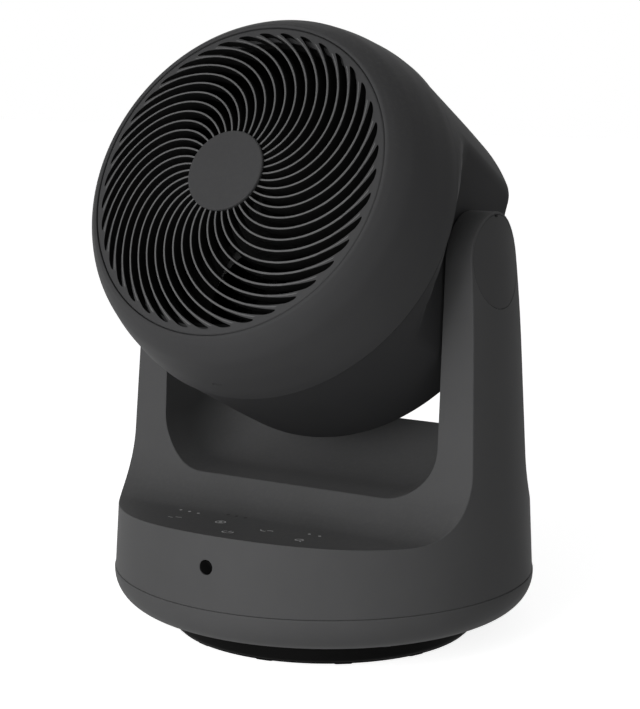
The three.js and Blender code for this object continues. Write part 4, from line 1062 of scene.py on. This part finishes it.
def build_rear_grille():
    m = plastics()
    count = sizes().rear_ribs
    verts, faces = [], []

    def rib(angle, start, end, width, steps):
        base = len(verts)
        for r in np.linspace(start, end, steps):
            half = width / 2 / r
            for da, drop in ((-half, -1.2), (-half, 3.8), (0, 4.5), (half, 3.8), (half, -1.2)):
                verts.append(rear_point(r, angle + da, drop))
        for j in range(steps - 1):
            p, q = base + 5 * j, base + 5 * (j + 1)
            faces.extend((p + i, p + (i + 1) % 5, q + (i + 1) % 5, q + i) for i in range(5))
        last = base + 5 * (steps - 1)
        faces.extend([tuple(range(base, base + 5))[::-1], tuple(range(last, last + 5))])

    def hoop(inner, outer, segments=208):
        base = len(verts)
        for i in range(segments):
            a = 2 * math.pi * i / segments
            middle = (inner + outer) / 2
            for r, drop in ((inner, -1.0), (outer, -1.0), (outer, 3.6), (middle, 4.2), (inner, 3.6)):
                verts.append(rear_point(r, a, drop))
        for i in range(segments):
            p, q = base + 5 * i, base + 5 * ((i + 1) % segments)
            faces.extend((p + k, p + (k + 1) % 5, q + (k + 1) % 5, q + k) for k in range(5))

    for i in range(count):
        rib(2 * math.pi * (i + 0.5) / count, REAR_ROUND - 2, 92.4, REAR_RIB_W, 18)
    for i in range(count // 2):
        rib(2 * math.pi * (i + 0.5) / (count // 2), 28, REAR_ROUND - 2, REAR_INNER_RIB_W, 8)
    hoop(89.6, 93.2)
    hoop(56, 64)
    for middle in REAR_HOOPS:
        hoop(middle - REAR_HOOP_HALF, middle + REAR_HOOP_HALF)
    basket = make("rear_grille_skin", verts, faces, HEAD_MATRIX)
    finish(basket, m["black"], "head", "rear_grille", bevel=0.0, slot="black_plastic")
    profile = [(0, -55.6), (31, -55.6), (31.6, -56.4), (31.6, -61.2), (30.6, -62.4), (0, -62.6)]
    disc_at = HEAD_MATRIX @ Matrix.Rotation(math.atan(REAR_LEAN / HEAD_R), 4, "X")
    disc = lathe("rear_grille_disc", profile, 96, disc_at)
    finish(disc, m["black"], "head", bevel=0.0, slot="black_plastic")


def build_tunnel():
    """The tunnel round the impeller, with the motor's plate on five struts."""
    m = plastics()
    front, under = TUNNEL_FRONT_S, TUNNEL_FRONT_S - 2.2
    profile = [(TUNNEL_BORE_R, -4), (TUNNEL_R, -4), (TUNNEL_R, under), (TUNNEL_FLANGE_R, under)]
    profile += [(TUNNEL_FLANGE_R, front), (77, front), (TUNNEL_BORE_R, 90)]
    tunnel = lathe("air_tunnel_skin", profile, 160, HEAD_MATRIX, closed=True)
    union(tunnel, rod("plate", 32, -1.5, 1.5, HEAD_MATRIX, 64))
    for i in range(5):
        turn = HEAD_MATRIX @ Matrix.Rotation(math.radians(18 + 72 * i), 4, "Z")
        strut = [(29, -2.5), (76.3, -2.5), (76.3, 2.5), (29, 2.5)]
        union(tunnel, extrude("strut", strut, -4, 3.5, turn))
    finish(tunnel, m["black"], "head", "air_tunnel", bevel=0.0, slot="black_plastic")


def blade_section(t, start):
    """Loop round a blade at a share t of its length: a curved chord, thickest in its middle."""
    across = 14
    root_r = ROTOR_HUB_R - 1.5
    r = root_r + (BLADE_TIP_R - root_r) * t
    low, high = 16 + 6 * t, 54 - 4 * t
    turn = math.radians(43 + 7 * t)
    lead = math.radians(18) * t**1.3 + start
    side = []
    for i in range(across + 1):
        u = i / across
        a = lead + turn * (u - 0.5) + 0.1 * math.sin(math.pi * u)
        side.append((r * math.cos(a), r * math.sin(a), low + (high - low) * u))
    thick = 0.25 + 0.65 * np.sin(np.pi * np.linspace(0.04, 0.96, across + 1))
    lower = [(x, y, z - d) for (x, y, z), d in zip(side, thick)]
    upper = [(x, y, z + d) for (x, y, z), d in zip(side, thick)]
    return lower + upper[::-1]


def build_rotor():
    m = plastics()
    bore, front, back = 3.3, 58, 12
    inner, outer = ROTOR_HUB_R - 2.2, ROTOR_HUB_R
    hub = [(bore, front - 2.2), (25.8, front - 2.2), (inner, 52.8), (inner, back), (outer, back), (outer, 54)]
    hub += arc(27, 54, 4, 0, 90, 8) + [(bore, front)]
    rotor = lathe("impeller_skin", hub, 96, HEAD_MATRIX, closed=True)
    rings = 14
    for k in range(BLADES):
        rows = [blade_section(j / rings, 2 * math.pi * k / BLADES) for j in range(rings + 1)]
        union(rotor, loft("blade", rows, HEAD_MATRIX))
    finish(rotor, m["rotor"], "fan_rotor", "impeller", bevel=0.0, slot="fan_plastic")

    seat = front + GAP
    profile = [(0, seat), (NUT_R, seat), (NUT_R, 62.8), (6.1, 63.6), (4.0, 65.8), (2.0, 66.3), (0, 66.4)]
    nut = lathe("spinner_nut_skin", profile, 48, HEAD_MATRIX)
    finish(nut, m["rotor"], "fan_rotor", "spinner_nut", bevel=0.0, slot="fan_plastic")


def build_blower():
    """Tunnel and rotor, seen between the vanes."""
    build_tunnel()
    build_rotor()


def paint_frame():
    """Materials for the CAD nodes that stay as they are."""
    m = plastics()
    looks = {
        "steel": ("screw", "motor"),
        "nylon": ("gear", "pinion", "bushing", "collar", "slide_ring"),
        "board": ("board",),
        "black": ("trunnion_left", "trunnion_right", "ir_receiver"),
    }
    for name, node in NODES.items():
        for look, words in looks.items():
            if any(word in name for word in words):
                node.data.materials.clear()
                node.data.materials.append(m[look])
                break


# ------------------------------------------------------------ stage
FLOOR_HALF = 6000.0
FLOOR_GREY = 0.85
FLOOR_GLOW = 0.84
WORLD_FILL = 0.15
LAMP_AIM_Z = 0.18
LAMPS = (  # name, place in metres, side of the square in metres, watts
    ("key", (-0.35, -1.85, 0.7), 1.3, 13.0),
    ("deck", (-0.25, -1.7, 1.0), 1.2, 8.0),
    ("low", (0.35, -1.5, 0.09), 0.9, 12.0),
)
CAMERA_AT = (0.54549, -0.89098, 0.32031)
CAMERA_TURN = math.radians(31.476)
CAMERA_TILT = math.radians(9.07)
CAMERA_ROLL = math.radians(0.486)
CAMERA_LENS = 95.52
CAMERA_SHIFT_X = -0.0081


def _seen(tree):
    """One for rays that show a surface to the camera: straight, mirrored or through glass."""
    path = tree.nodes.new("ShaderNodeLightPath")
    seen = path.outputs["Is Camera Ray"]
    for name in ("Is Glossy Ray", "Is Transmission Ray"):
        seen = _math(tree, "MAXIMUM", seen, path.outputs[name])
    return seen


def build_stage():
    corners = ((-1, -1), (1, -1), (1, 1), (-1, 1))
    floor = make("floor", [(x * FLOOR_HALF, y * FLOOR_HALF, 0) for x, y in corners], [(0, 1, 2, 3)])
    white = bpy.data.materials.new("Floor white")
    white.use_nodes = True
    tree = white.node_tree
    shader = tree.nodes["Principled BSDF"]
    shader.inputs["Base Color"].default_value = (FLOOR_GREY, FLOOR_GREY, FLOOR_GREY, 1)
    shader.inputs["Roughness"].default_value = 0.9
    shader.inputs["Emission Strength"].default_value = FLOOR_GLOW
    tree.links.new(_seen(tree), shader.inputs["Emission Color"])
    floor.data.materials.append(white)

    world = bpy.data.worlds.new("Studio")
    bpy.context.scene.world = world
    world.use_nodes = True
    tree = world.node_tree
    tree.nodes.clear()
    out = tree.nodes.new("ShaderNodeOutputWorld")
    seen = _node(tree, "ShaderNodeBackground", Color=(1, 1, 1, 1), Strength=1.0)
    fill = _node(tree, "ShaderNodeBackground", Color=(1, 1, 1, 1), Strength=WORLD_FILL)
    mix = tree.nodes.new("ShaderNodeMixShader")
    tree.links.new(_seen(tree), mix.inputs["Fac"])
    tree.links.new(fill.outputs["Background"], mix.inputs[1])
    tree.links.new(seen.outputs["Background"], mix.inputs[2])
    tree.links.new(mix.outputs["Shader"], out.inputs["Surface"])

    for name, place, size, power in LAMPS:
        data = bpy.data.lights.new(name, "AREA")
        data.shape = "SQUARE"
        data.size = size
        data.energy = power
        lamp = bpy.data.objects.new(name, data)
        lamp.location = place
        lamp.rotation_euler = (Vector((0, 0, LAMP_AIM_Z)) - Vector(place)).to_track_quat("-Z", "Y").to_euler()
        bpy.context.scene.collection.objects.link(lamp)

    view = Vector(
        (
            math.sin(CAMERA_TURN) * math.cos(CAMERA_TILT),
            -math.cos(CAMERA_TURN) * math.cos(CAMERA_TILT),
            math.sin(CAMERA_TILT),
        )
    )
    right = Vector((math.cos(CAMERA_TURN), math.sin(CAMERA_TURN), 0))
    up = view.cross(right)
    c, s = math.cos(CAMERA_ROLL), math.sin(CAMERA_ROLL)
    x_axis, y_axis = c * right + s * up, c * up - s * right
    data = bpy.data.cameras.new("camera")
    data.lens = CAMERA_LENS
    data.sensor_width = 36
    data.shift_x = CAMERA_SHIFT_X
    camera = bpy.data.objects.new("camera", data)
    bpy.context.scene.collection.objects.link(camera)
    camera.matrix_world = Matrix.Translation(CAMERA_AT) @ Matrix((x_axis, y_axis, view)).transposed().to_4x4()
    bpy.context.scene.camera = camera
    bpy.context.scene.view_settings.view_transform = "Standard"


# ------------------------------------------------------------ add-on
def _operator(key, label, description, build):
    """An operator class that runs one build function."""

    def execute(self, context):
        build()
        return {"FINISHED"}

    parts = {"__doc__": description, "bl_idname": f"fan.{key}", "bl_label": label, "execute": execute}
    return type(f"FAN_OT_{key}", (bpy.types.Operator,), parts)


PIECES = (  # key, label, description, build function
    ("upper_shell", "Yoke", "Build the upper shell of the base with its two arms", build_upper_shell),
    ("lower_shell", "Pan", "Build the lower shell of the base", build_lower_shell),
    ("caps", "Pivot caps", "Build the round caps on the arms", build_caps),
    ("foot", "Foot", "Build the foot and its rubber tread", build_foot),
    ("window", "Infrared window", "Build the infrared window", build_window),
    ("inlet", "Power inlet", "Build the power inlet at the back", build_inlet),
    ("marks", "Deck marks", "Lay the printed icons on the deck", build_marks),
    ("front_shell", "Front shell", "Build the front shell of the head", build_front_shell),
    ("rear_shell", "Rear shell", "Build the rear shell of the head", build_rear_shell),
    ("front_grille", "Front grille", "Build the spiral front grille", build_front_grille),
    ("hub", "Hub disc", "Build the disc in the middle of the grille", build_hub),
    ("rear_grille", "Rear grille", "Build the ribbed rear grille", build_rear_grille),
    ("blower", "Blower", "Build the tunnel, the impeller and its nut", build_blower),
    ("paint", "Inner pieces", "Paint the CAD nodes that stay as they are", paint_frame),
    ("stage", "Stage", "Set the floor, the lights and the camera", build_stage),
)
OPERATORS = [_operator(*piece) for piece in PIECES]


class FAN_PT_panel(bpy.types.Panel):
    """Lists the fan's settings and pieces."""

    bl_label = "Air circulator"
    bl_space_type = "VIEW_3D"
    bl_region_type = "UI"
    bl_category = "Fan"

    def draw(self, context):
        for group in (context.scene.fan_sizes, context.scene.fan_colours):
            for key in group.__annotations__:
                self.layout.prop(group, key)
        for operator in OPERATORS:
            self.layout.operator(operator.bl_idname)


CLASSES = [FanSizes, FanColours, *OPERATORS, FAN_PT_panel]


def register():
    for cls in CLASSES:
        bpy.utils.register_class(cls)
    bpy.types.Scene.fan_sizes = bpy.props.PointerProperty(type=FanSizes)
    bpy.types.Scene.fan_colours = bpy.props.PointerProperty(type=FanColours)


def unregister():
    del bpy.types.Scene.fan_colours
    del bpy.types.Scene.fan_sizes
    for cls in reversed(CLASSES):
        bpy.utils.unregister_class(cls)


def main():
    register()
    for operator in OPERATORS:
        getattr(bpy.ops.fan, operator.bl_idname.split(".")[1])()


if __name__ == "__main__":
    main()
